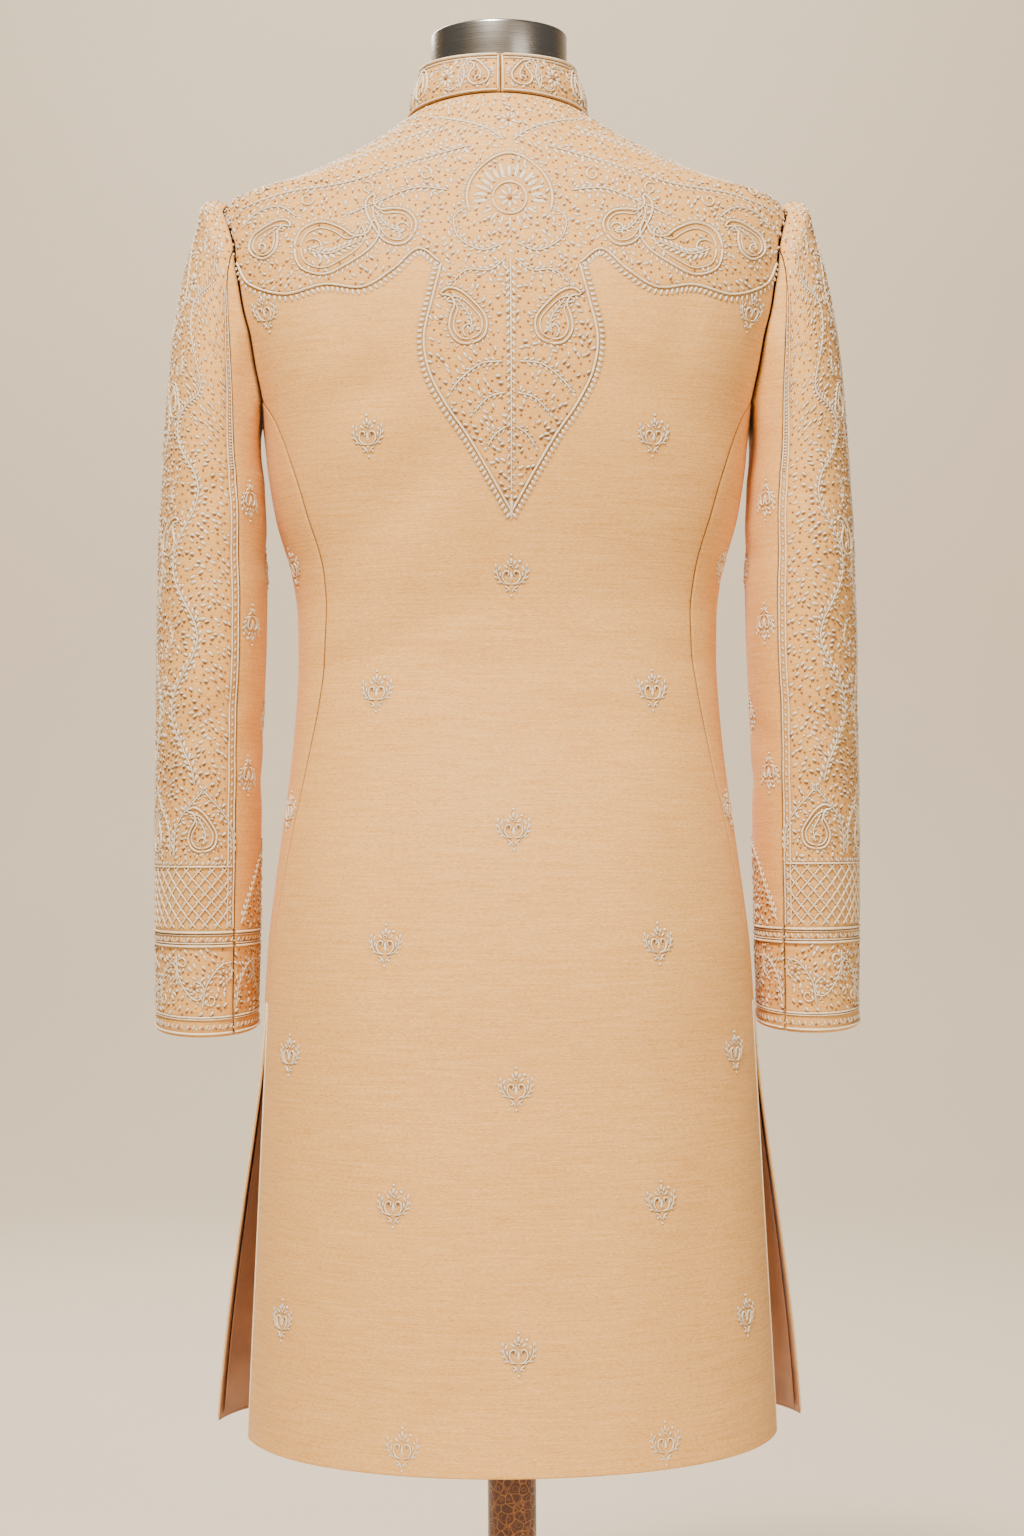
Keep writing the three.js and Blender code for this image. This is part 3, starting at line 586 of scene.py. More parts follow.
# The second colour of each stitched material is the painted shade at the feet of its stitches and in hollows.
THREAD = stitched("cream_thread", srgb(255, 232, 190), srgb(134, 80, 34), srgb(255, 250, 232), 0.38)
CORD = stitched("gold_cord", srgb(255, 222, 172), srgb(130, 78, 34), srgb(255, 244, 214), 0.42)
KNOT_AND_SHADOW = stitched("brown_knot_and_painted_shadow", srgb(146, 90, 44), srgb(84, 46, 20), srgb(174, 114, 60), 0.4)
BUTTON_THREAD = wound("button_thread", srgb(238, 196, 142), srgb(196, 148, 96), srgb(252, 226, 184))
JERSEY = satin("form_jersey", srgb(214, 202, 184), srgb(200, 187, 168))
NECK_STEEL = brushed_steel("neck_steel", srgb(196, 194, 190), 0.2)
BASE_STEEL = brushed_steel("base_steel", srgb(180, 180, 180), 0.3)
POLE_WOOD = ornamented_wood("pole_wood", srgb(92, 44, 14), srgb(176, 118, 56))


# ---- Meshes ----
def mesh_object(name, points, faces, materials, material_of=None, mirrored=False, strand=None, relief=None):
    """An object from points in millimetres. A mirrored mesh has its faces reversed, so that they keep facing the same
    way.
    """
    points = np.asarray(points, float) * MM
    faces = np.asarray(faces)
    if mirrored:
        points = points * (-1, 1, 1)
        faces = faces[:, ::-1]
    mesh = bpy.data.meshes.new(name)
    mesh.from_pydata(points.tolist(), [], faces.tolist())
    for material in materials:
        mesh.materials.append(material)
    if material_of is not None:
        mesh.polygons.foreach_set("material_index", np.asarray(material_of, np.int32))
    mesh.polygons.foreach_set("use_smooth", np.ones(len(faces), bool))
    if strand is not None:
        layer = mesh.uv_layers.new(name="strand")
        layer.data.foreach_set("uv", np.asarray(strand)[faces.ravel()].astype(np.float32).ravel())
        height = mesh.attributes.new("relief", "FLOAT", "POINT")
        height.data.foreach_set("value", np.asarray(relief, np.float32))
    mesh.update()
    made = bpy.data.objects.new(name, mesh)
    bpy.context.scene.collection.objects.link(made)
    return made


def grid_faces(rows, columns, offset=0):
    a = (np.arange(rows - 1)[:, None] * columns + np.arange(columns - 1)).ravel() + offset
    return np.stack([a, a + columns, a + columns + 1, a + 1], -1)


# Distances from an edge, in millimetres, at which a panel has a row or column, so that its edge can be round.
EDGE = np.array([0, 0.3, 0.8, 1.6, 3, 5.5])
EDGE_ROUND = 1.0
SEAM_DIP = 0.7


def between_edges(surface, v, start, end, count):
    """Angles of a panel's columns in each row, and each column's distance from the nearer side edge."""
    def per_degree(angle):
        return np.linalg.norm(surface(angle + 0.5, v) - surface(angle - 0.5, v), axis=-1)

    first = start + EDGE[:, None] / per_degree(start)
    last = end - EDGE[::-1, None] / per_degree(end)
    middle = first[-1] + (last[0] - first[-1]) * np.linspace(0, 1, count + 2)[1:-1, None]
    distance = np.concatenate([EDGE, np.full(count, EDGE[-1]), EDGE[::-1]])
    return np.concatenate([first, middle, last]).T, distance


def rows_between(low, high, pitch):
    """Levels of a panel's rows, and each row's distance from the nearer end."""
    count = int((high - low - 2 * EDGE[-1]) / pitch)
    middle = np.linspace(low + EDGE[-1], high - EDGE[-1], count + 2)[1:-1]
    return (np.concatenate([low + EDGE, middle, high - EDGE[::-1]]),
            np.concatenate([EDGE, np.full(count, EDGE[-1]), EDGE[::-1]]))


def shell(name, surface, angle, v, distance, outward, thickness=CLOTH, dip=None, lift=0.0, mirrored=False,
          materials=None):
    """A closed wall of cloth with rounded edges over a grid. distance is to the nearest edge. dip sinks a seam."""
    point, normal, _, _ = local_frame(surface, angle, v, outward, dv=0.5 if np.ptp(v) > 5 else 0.002)
    half = thickness / 2 * np.sqrt(1 - (1 - np.clip(distance / EDGE_ROUND, 0, 1)) ** 2) + 0.01
    sink = np.zeros_like(half) if dip is None else dip
    middle = lift - thickness / 2 - sink
    outer = point + normal * (middle + half)[..., None]
    inner = point + normal * (middle - half)[..., None]
    rows, columns = half.shape
    count = rows * columns
    outside = grid_faces(rows, columns)
    inside = grid_faces(rows, columns, count)[:, ::-1]
    at = np.arange(count).reshape(rows, columns)
    loop = np.concatenate([at[0, :-1], at[:-1, -1], at[-1, :0:-1], at[:0:-1, 0]])
    after = np.roll(loop, -1)
    rim = np.stack([loop, after, after + count, loop + count], -1)
    faces = np.concatenate([outside, inside, rim])
    points = np.concatenate([outer.reshape(-1, 3), inner.reshape(-1, 3)])
    a, b, c, d = (points[faces[:, k]] for k in range(4))
    if np.sum(np.cross(c - a, d - b) * (a + b + c + d)) < 0:
        faces = faces[:, ::-1]
    kind = np.concatenate([np.zeros(len(outside)), np.ones(len(inside)), np.zeros(len(rim))])
    return mesh_object(name, points, faces, materials or [SILK, LINING_SATIN], kind, mirrored)


def seam_dip(distance):
    return SEAM_DIP * (1 - np.clip(distance / EDGE[-2], 0, 1)) ** 2


# ---- Panels of the body ----
def side_edge(level):
    seams = seams_at(level)
    return np.where(level < SLIT_TOP, seams["side"], seams["back"])


def back_edge(level):
    upper = np.where(level <= SHOULDER_TIP, armhole_at(level)["back"], 90)
    return np.where(level <= ARMHOLE_CORNER, seams_at(level)["back"], upper)


def front_edge(level):
    upper = np.where(level <= SHOULDER_TIP, armhole_at(level)["front"], 90)
    return np.where(level <= ARMHOLE_CORNER, seams_at(level)["front"], upper)


def past_front(distance, level):
    section = body_at(level)
    return 180 + np.degrees(np.arcsin(distance / (section["half"] + section["flare"])))


def clear_of(surface, angle, level, distance):
    """degrees for a distance along a ring."""
    return distance / np.linalg.norm(surface(angle + 0.5, level) - surface(angle - 0.5, level), axis=-1)


def panel_distance(across, up):
    return np.minimum(across[None, :], up[:, None])


def hem_turn(level):
    """How much the turned-up hem and its facing fill out the cloth."""
    return 0.35 * smooth((HEM + 38 - level) / 3)


back_surface = body(0)
levels, up = rows_between(HEM, NECK, 6.0)
edge = back_edge(levels)
edge = edge - clear_of(back_surface, edge, levels, SEAM_GAP / 2)
angles, across = between_edges(back_surface, levels, -edge, edge, 74)
free = (levels[:, None] < SLIT_TOP) | (across[None, :] >= EDGE[-1])
back = shell("coat_back", back_surface, angles, levels[:, None] + 0 * angles, panel_distance(across, up), 1,
             dip=np.where(free, 0, seam_dip(across)[None, :]), lift=hem_turn(levels)[:, None])
PIECES = {"back": back}


def side_panel(mirrored):
    surface = turned_over(body(1), mirrored)
    levels, up = rows_between(HEM, ARMHOLE_CORNER, 6.0)
    start = side_edge(levels)
    end = seams_at(levels)["front"]
    start = start + clear_of(surface, start, levels, SEAM_GAP / 2)
    end = end - clear_of(surface, end, levels, SEAM_GAP / 2)
    angles, across = between_edges(surface, levels, start, end, 18)
    share = np.clip((levels - BEND_LEVEL) / (ARMHOLE_CORNER - BEND_LEVEL), 0, 1)[:, None]
    lowered = levels[:, None] - share * (ARMHOLE_CORNER - underarm_level(angles))
    slit = (levels[:, None] < SLIT_TOP) & (np.arange(len(across))[None, :] < len(across) / 2)
    return shell("coat_side_" + ("right" if mirrored else "left"), surface, angles, lowered,
                 panel_distance(across, up), 1, dip=np.where(slit, 0, seam_dip(across)[None, :]),
                 lift=hem_turn(levels)[:, None], mirrored=mirrored)


def front_panel(mirrored):
    surface = turned_over(body(1, wrapped=not mirrored), mirrored)
    levels, up = rows_between(HEM, NECK, 6.0)
    start = front_edge(levels)
    start = start + clear_of(surface, start, levels, SEAM_GAP / 2)
    angles, across = between_edges(surface, levels, start, past_front(FRONT_WRAP, levels), 46)
    edged = np.arange(len(across)) < len(across) / 2
    return shell("coat_front_" + ("right" if mirrored else "left"), surface, angles, levels[:, None] + 0 * angles,
                 panel_distance(across, up), 1, dip=np.where(edged, seam_dip(across), 0)[None, :],
                 lift=hem_turn(levels)[:, None], mirrored=mirrored)


def skirt_lining(mirrored):
    surface = turned_over(body(1), mirrored)
    levels, up = rows_between(HEM + LINING_MARGIN, SLIT_TOP - LINING_MARGIN, 8.0)
    start = side_edge(levels)
    start = start + clear_of(surface, start, levels, LINING_MARGIN)
    angles, across = between_edges(surface, levels, start, past_front(-FRONT_WRAP - LINING_MARGIN, levels), 30)
    sag = 0.5 * (1 - np.cos(angles / 7)) * np.clip(across / 5, 0, 1)[None, :]
    return shell("skirt_lining_" + ("right" if mirrored else "left"), surface, angles,
                 levels[:, None] + 0 * angles, panel_distance(across, up), 1, thickness=LINING,
                 lift=-(CLOTH + LINING_EASE) - sag, mirrored=mirrored, materials=[LINING_SATIN, LINING_SATIN])


def collar_half(mirrored):
    surface = turned_over(collar, mirrored)
    levels, up = rows_between(COLLAR["level"][0], COLLAR_TOP, 3.0)
    start = clear_of(surface, 0, levels, SEAM_GAP / 2)
    angles, across = between_edges(surface, levels, start, 180 - start, 60)
    return shell("coat_collar_" + ("right" if mirrored else "left"), surface, angles,
                 levels[:, None] + 0 * angles, panel_distance(across, up), 1, mirrored=mirrored)


def sleeve_half(is_top, mirrored):
    surface = sleeve(turned_over(body(1), mirrored))
    head = np.concatenate([[0, 0.002, 0.005, 0.01, 0.018, 0.03], np.linspace(0.045, 1, 44)])
    tube = np.concatenate([np.linspace(1, 2 - 5.5 / 450, 72)[1:], 2 - EDGE[-2::-1] / 450])
    down = np.concatenate([head, tube])
    up = np.concatenate([[0, 0.3, 0.8, 1.6, 3, 5.5], np.full(44 + 71, 5.5), EDGE[-2::-1]])
    seams = sleeve_seams(down)
    if is_top:
        start, end = seams["frontSeam"] - 360, seams["backSeam"]
    else:
        start, end = seams["backSeam"], seams["frontSeam"]
    start = start + clear_of(surface, start, down, SEAM_GAP)
    end = end - clear_of(surface, end, down, SEAM_GAP)
    angles, across = between_edges(surface, down, start, end, 46 if is_top else 24)
    name = f"sleeve_{'top' if is_top else 'under'}_{'right' if mirrored else 'left'}"
    return shell("coat_" + name, surface, angles, down[:, None] + 0 * angles, panel_distance(across, up), 1,
                 dip=seam_dip(across)[None, :] + 0 * angles, mirrored=mirrored)


for side, mirrored in (("left", False), ("right", True)):
    PIECES[f"side_{side}"] = side_panel(mirrored)
    PIECES[f"front_{side}"] = front_panel(mirrored)
    PIECES[f"lining_{side}"] = skirt_lining(mirrored)
    PIECES[f"collar_{side}"] = collar_half(mirrored)
    PIECES[f"sleeve_top_{side}"] = sleeve_half(True, mirrored)
    PIECES[f"sleeve_under_{side}"] = sleeve_half(False, mirrored)


# ---- Form ----
def closed_rings(name, rings, ends, material, clockwise=False):
    """A closed body, in millimetres, of rings from the lowest up and a point at each end."""
    levels, sides = rings.shape[:2]
    here = np.arange(levels * sides).reshape(levels, sides)
    beside_it = np.roll(here, -1, axis=1)
    low, high = levels * sides, levels * sides + 1
    faces = np.stack([here[:-1], beside_it[:-1], beside_it[1:], here[1:]], -1).reshape(-1, 4).tolist()
    faces += [(low, k, i) for i, k in zip(here[0].tolist(), beside_it[0].tolist())]
    faces += [(high, i, k) for i, k in zip(here[-1].tolist(), beside_it[-1].tolist())]
    if clockwise:
        faces = [face[::-1] for face in faces]
    mesh = bpy.data.meshes.new(name)
    mesh.from_pydata((np.concatenate([rings.reshape(-1, 3), ends]) * MM).tolist(), [], faces)
    mesh.materials.append(material)
    mesh.polygons.foreach_set("use_smooth", np.ones(len(faces), bool))
    made = bpy.data.objects.new(name, mesh)
    bpy.context.scene.collection.objects.link(made)
    return made


def revolved(name, profile, sides, material, shift=0.0):
    """A closed body turned round the pole's axis, from a profile of (radius, level) from axis to axis."""
    profile = np.array(profile, float)
    turn = np.linspace(0, 2 * math.pi, sides, endpoint=False)
    rings = np.stack([profile[1:-1, None, 0] * np.cos(turn) + shift, profile[1:-1, None, 0] * np.sin(turn),
                      profile[1:-1, None, 1] + 0 * turn], -1)
    return closed_rings(name, rings, [(shift, 0, profile[0, 1]), (shift, 0, profile[-1, 1])], material)


def bevelled(radius, low, high, bevel, steps=6):
    """A profile with rounded edges, from the axis to the axis."""
    turn = np.linspace(0, math.pi / 2, steps)
    bottom = [(radius - bevel + bevel * math.sin(t), low + bevel - bevel * math.cos(t)) for t in turn]
    top = [(radius - bevel + bevel * math.cos(t), high - bevel + bevel * math.sin(t)) for t in turn]
    wall = [(radius, low + (high - low) * s) for s in (0.25, 0.5, 0.75)]
    return [(0, low), (radius * 0.5, low), *bottom, *wall, *top, (radius * 0.5, high), (0, high)]


neck_profile = bevelled(NECK_CAP["radius"], NECK_CAP["bottom"] + SEAM_GAP, NECK_CAP["top"], 2.2)
neck = revolved("form_neck_cap", neck_profile, 128, NECK_STEEL, NECK_CAP["shift"])
pole_profile = bevelled(POLE_RADIUS, BASE["thickness"] + SEAM_GAP, FORM_BOTTOM - SEAM_GAP, 0.8)
pole = revolved("form_pole_turned", pole_profile, 64, POLE_WOOD)
base = revolved("form_base_plate", bevelled(BASE["radius"], 0, BASE["thickness"], 1.6), 160, BASE_STEEL)


def torso_body():
    levels = np.concatenate([[FORM["level"][0]], np.linspace(FORM["level"][0] + 3, FORM["level"][-1], 90)])
    turn = np.linspace(0, 360, 120, endpoint=False)
    section = form_at(levels[:, None])
    points = ring(section, section["half"], turn[None, :], levels[:, None])
    points[0, :, :2] *= 0.985
    ends = [(section["shift"][0, 0], 0, levels[0]), (section["shift"][-1, 0], 0, levels[-1])]
    return closed_rings("form_torso_body", points, ends, JERSEY, clockwise=True)


torso = torso_body()
for piece, node in ((neck, "form_neck"), (pole, "form_pole"), (base, "form_base"), (torso, "form_torso")):
    PIECES[node] = piece

# ---- Buttons: domes wrapped in thread, with a corded rim and a knot at the crown ----
# Distances from the axis in radii, and levels in heights.
BUTTON_OUTLINE = [
    (0, 0), (0.45, 0), (0.7, 0.02), (0.86, 0.1), (0.96, 0.22), (1, 0.36), (0.97, 0.5), (0.9, 0.58), (0.85, 0.6),
    (0.82, 0.66), (0.76, 0.76), (0.65, 0.86), (0.52, 0.92), (0.38, 0.96), (0.26, 0.97), (0.2, 0.98),
    (0.19, 1.03), (0.15, 1.09), (0.08, 1.13), (0, 1.14)]
BUTTON_SIDES = 64
RIM_TWISTS, RIM_DEPTH = 32, 0.16
CROWN_RIBS, RIB_DEPTH = 16, 0.17


def button(number):
    level = BUTTONS["top"] - (number - 1) * BUTTONS["pitch"]
    point, normal, _, _ = local_frame(body(1), np.array(180.0), np.array(float(level)), 1)
    across = unit(np.cross((0, 0, 1), normal))
    away, height = np.array(BUTTON_OUTLINE[1:-1]).T[:, :, None]
    turn = np.linspace(0, 2 * math.pi, BUTTON_SIDES, endpoint=False)[None, :]
    crown = np.clip((away - 0.2) / 0.2, 0, 1) * np.clip((0.86 - away) / 0.1, 0, 1) * (height > 0.55)
    rim = np.clip(1 - np.abs(height - 0.34) / 0.24, 0, 1) * (away > 0.8)
    out = away * BUTTONS["radius"] + RIM_DEPTH * rim * np.cos(RIM_TWISTS * turn + 9 * height)
    rise = height * BUTTONS["height"] + RIB_DEPTH * crown * np.cos(CROWN_RIBS * turn)
    foot = point + normal * (WRAP_LIFT + BUTTONS["shank"])
    spoke = np.cos(turn)[..., None] * across + np.sin(turn)[..., None] * np.cross(normal, across)
    rings = foot + out[..., None] * spoke + rise[..., None] * normal
    ends = [foot, foot + BUTTON_OUTLINE[-1][1] * BUTTONS["height"] * normal]
    return closed_rings(f"coat_button_{number}", rings, ends, BUTTON_THREAD)


for number in range(1, BUTTONS["count"] + 1):
    PIECES[f"button_{number}"] = button(number)

# ---- Embroidery: stitches drawn in a flat plan, in millimetres, and then laid on the cloth ----
LIGHT, GOLD, BROWN = 0, 1, 2  # cream thread, gold cord, brown knots and painted shadow strokes
# A leaf's corners: along its length, across it in half widths, and above the cloth in heights. Likewise a bead.
LEAF = np.array([(-0.04, 0, 0), (0.26, -1, 0), (0.68, -0.94, 0), (1.05, 0, 0), (0.68, 0.94, 0), (0.26, 1, 0),
                 (0.3, 0, 1), (0.7, 0, 0.92)])
LEAF_FACES = np.array([(0, 1, 6), (1, 2, 7), (1, 7, 6), (2, 3, 7), (3, 4, 7), (4, 5, 6), (4, 6, 7), (5, 0, 6)])
HEXAGON = [(math.cos(t), math.sin(t)) for t in np.linspace(0, 2 * math.pi, 7)[:-1]]
BEAD = np.array([(x, y, 0) for x, y in HEXAGON] + [(0.74 * x, 0.74 * y, 0.62) for x, y in HEXAGON] + [(0, 0, 0.85)])
BEAD_FACES = np.array([f for i in range(6) for k in [(i + 1) % 6]
                       for f in ((i, k, 6 + k), (i, 6 + k, 6 + i), (6 + i, 6 + k, 12))])
CORD_SECTION = np.array([(-1, 0), (-0.5, 0.85), (0.5, 0.85), (1, 0)])
SUNK = -0.15  # how far the foot of a stitch goes into the cloth
LEAF_RISE, CORD_RISE = 0.6, 0.85  # heights of a leaf and a cord, as shares of their widths


def flowing(points, closed=False, step=2.2):
    """A smooth line through points, with its own points a step apart."""
    p = np.asarray(points, float)
    if len(p) > 2 or closed:
        ends = (p[-1:], np.concatenate([p[:1], p[1:2]])) if closed else (2 * p[:1] - p[1:2], 2 * p[-1:] - p[-2:-1])
        q = np.concatenate([ends[0], p, ends[1]])
        t = np.linspace(0, 1, 13)[:-1, None]
        pieces = [0.5 * (2 * b + (c - a) * t + (2 * a - 5 * b + 4 * c - d) * t**2 + (3 * b - a - 3 * c + d) * t**3)
                  for a, b, c, d in zip(q, q[1:], q[2:], q[3:])]
        p = np.concatenate([*pieces, q[-2:-1]])
    along = np.concatenate([[0], np.cumsum(np.linalg.norm(np.diff(p, axis=0), axis=1))])
    at = np.linspace(0, along[-1], max(2, round(along[-1] / step) + 1))
    return np.stack([np.interp(at, along, p[:, k]) for k in (0, 1)], -1)


def turned(vector, degrees):
    c, s = math.cos(math.radians(degrees)), math.sin(math.radians(degrees))
    x, y = vector
    return np.array([x * c - y * s, x * s + y * c])


class Pen:
    """Draws leaves, beads and cords in a plan, from a place, turned, sized and perhaps flipped."""

    def __init__(self, at=(0, 0), turn=0.0, size=1.0, flip=False, parent=None):
        axes = np.array([turned((1, 0), turn), turned((0, 1), turn)]).T * size
        axes = axes @ np.diag([-1.0 if flip else 1.0, 1.0])
        self.matrix = parent.matrix @ axes if parent else axes
        self.offset = parent.place(at) if parent else np.array(at, float)
        drawn = (parent.leaves, parent.beads, parent.cords) if parent else ([], [], [])
        self.leaves, self.beads, self.cords = drawn

    def place(self, points):
        return np.asarray(points, float) @ self.matrix.T + self.offset

    def at(self, x, y, turn=0.0, size=1.0, flip=False):
        return Pen((x, y), turn, size, flip, self)

    def leaf(self, foot, tip, width=2.7, kind=LIGHT):
        self.leaves.append((*self.place(foot), *self.place(tip), width, kind))

    def bead(self, x, y, radius=1.1, kind=LIGHT):
        self.beads.append((*self.place((x, y)), radius, kind))

    def cord(self, points, width=1.5, closed=False, kind=GOLD):
        line = flowing(self.place(points), closed)
        self.cords.append((line, 1.25 * width, kind))
        return line

    def spray(self, points, leaf=7.0, gap=6.0, lean=38, width=1.3, first=0.5, tip=True, kind=LIGHT):
        """A stem with leaves on both sides."""
        line = flowing(self.place(points))
        self.cords.append((line, 1.25 * width, GOLD))
        steps = np.linalg.norm(np.diff(line, axis=0), axis=1)
        total = steps.sum()
        along = np.concatenate([[0], np.cumsum(steps)])
        for k, s in enumerate(np.arange(gap * first, total - 1, gap / 2)):
            here = np.array([np.interp(s, along, line[:, i]) for i in (0, 1)])
            ahead = np.array([np.interp(s + 1, along, line[:, i]) for i in (0, 1)]) - here
            way = turned(ahead / max(np.linalg.norm(ahead), 1e-6), lean if k % 2 else -lean)
            size = leaf * (1 - 0.35 * s / total)
            self.leaves.append((*(here + way * 0.7), *(here + way * size), min(3.1, 0.42 * size), kind))
        if tip:
            way = line[-1] - line[-2]
            way = way / np.linalg.norm(way)
            self.leaves.append((*line[-1], *(line[-1] + way * leaf * 0.8), 2.3, kind))

    def curl(self, x, y, radius, start, turns=1.2, width=1.3, hand=1):
        t = np.linspace(0, 1, 14)
        angle = np.radians(start) + hand * t * turns * 2 * math.pi
        r = radius * (1 - 0.78 * t)
        self.cord(np.stack([x + r * np.cos(angle), y + r * np.sin(angle)], -1), width)

    def flower(self, x, y, petals, inner, outer, width=2.6, start=90.0):
        for k in range(petals):
            way = turned((1, 0), start + 360 * k / petals)
            self.leaf(np.array([x, y]) + way * inner, np.array([x, y]) + way * outer, width)
        self.bead(x, y, inner * 0.8, BROWN)

    def petals_along(self, points, leaf=4.5, gap=4.2, side=1, lean=70, closed=False, width=2.2):
        line = flowing(self.place(points), closed, gap)
        way = np.gradient(line, axis=0)
        flip = np.sign(np.linalg.det(self.matrix))
        for here, ahead in zip(line, way):
            out = turned(ahead / max(np.linalg.norm(ahead), 1e-6), side * flip * lean)
            self.leaves.append((*(here + out * 1.2), *(here + out * (1.2 + leaf)), width, LIGHT))

    def samples(self):
        """Places and directions of all that is drawn so far."""
        places = [line for line, _, _ in self.cords]
        ways = [np.gradient(line, axis=0) for line in places]
        if self.leaves:
            leaves = np.array([leaf[:4] for leaf in self.leaves])
            for share in (0.3, 0.75):
                places.append(leaves[:, :2] + share * (leaves[:, 2:] - leaves[:, :2]))
                ways.append(leaves[:, 2:] - leaves[:, :2])
        if self.beads:
            beads = np.array([bead[:2] for bead in self.beads])
            places.append(beads)
            ways.append(beads * 0 + (0, 1))
        return np.concatenate(places), np.concatenate(ways)


# Motifs, each upright about its own middle.
PAISLEY = [(0, -0.3), (0.22, -0.24), (0.33, -0.02), (0.27, 0.22), (0.17, 0.4), (0.22, 0.56), (0.38, 0.62), (0.22, 0.7),
           (0.02, 0.6), (-0.17, 0.36), (-0.31, 0.08), (-0.24, -0.2)]


def paisley(pen, length):
    outline = np.array(PAISLEY) * length
    heart = np.array([0.02, 0.02]) * length
    pen.cord(outline, 1.6, closed=True)
    pen.petals_along(outline, leaf=min(5, 0.1 * length), gap=4.4, side=-1, lean=62, closed=True)
    if length > 34:
        pen.cord(heart + (outline - heart) * 0.76, 1.2, closed=True)
    inner = heart + (outline[:5] - heart) * 0.5
    pen.spray([(0, -0.16 * length), (-0.06 * length, 0.1 * length), (0.04 * length, 0.34 * length),
               (0.12 * length, 0.5 * length)], leaf=0.14 * length, gap=4.6)
    pen.curl(*(heart - (0.02 * length, 0.09 * length)), 0.13 * length, -60, 1.1)
    for x, y in inner[::2]:
        pen.bead(x, y, 1.0, BROWN)


def lotus(pen, radius):
    """A fan of petals over a round heart."""
    pen.flower(0, 0, 8, 2.4, 0.3 * radius, 3)
    pen.cord([(0.4 * radius * math.cos(t), 0.4 * radius * math.sin(t)) for t in np.linspace(0, 2 * math.pi, 17)[:-1]],
             1.5, closed=True)
    for k, t in enumerate(np.linspace(-0.12, math.pi + 0.12, 15)):
        way = np.array([math.cos(t), math.sin(t)])
        pen.leaf(way * 0.5 * radius, way * (0.86 if k % 2 else 0.94) * radius, 0.11 * radius)
    arch = [(1.02 * radius * math.cos(t), 1.02 * radius * math.sin(t) * (1 + 0.12 * math.sin(t) ** 6))
            for t in np.linspace(-0.35, math.pi + 0.35, 15)]
    pen.cord(arch, 1.7)
    pen.petals_along(arch, 4, 4.4, side=-1, lean=80)
    for t in np.linspace(-2.6, -0.55, 7):
        way = np.array([math.cos(t), math.sin(t)])
        pen.leaf(way * 0.46 * radius, way * 0.8 * radius, 2.6)


def butta(pen):
    """A small sprig 26 mm across and 34 mm high, scattered over the plain cloth."""
    for flip in (False, True):
        p = pen.at(0, 0, flip=flip)
        p.cord([(0.4, -14), (2.2, -10.5), (5.6, -8)], 1.2)
        p.cord([(0.5, -7), (4.2, -6.4), (6.9, -2.4), (6.2, 2.2), (3.2, 3.6), (1.6, 1.2), (3.4, -0.8)], 1.3)
        p.cord([(3.6, -7.6), (8.6, -4.6), (11.2, 0.6), (11.6, 5.4)], 1.1)
        for foot, tip in (((7.4, -5.6), (11.8, -5.4)), ((9.6, -2.8), (14.2, -0.8)), ((11, 0.8), (14.6, 4.4)),
                          ((8.6, -1.6), (8.8, 3)), ((10.6, 3), (8.4, 7.4)), ((11.6, 5.2), (12.6, 9.6)),
                          ((2.6, 5), (6.6, 8.6)), ((1.2, 7.4), (3.6, 12.2)), ((1.4, -10.4), (5, -13.4))):
            p.leaf(foot, tip, 2.1)
    pen.leaf((0, -5.4), (0, 3.2), 2.9)
    pen.leaf((0, 8.6), (0, 14.2), 2.6)
    pen.curl(0, 6.2, 2.1, 0, 1.0, 1.1)
    pen.bead(0, 16, 1.3)
    pen.bead(-6.6, 10.8, 1.5)
    pen.bead(0, -16.4, 1.3)
    pen.bead(3.9, 0.8, 0.8, BROWN)
    pen.bead(-3.9, 0.8, 0.8, BROWN)


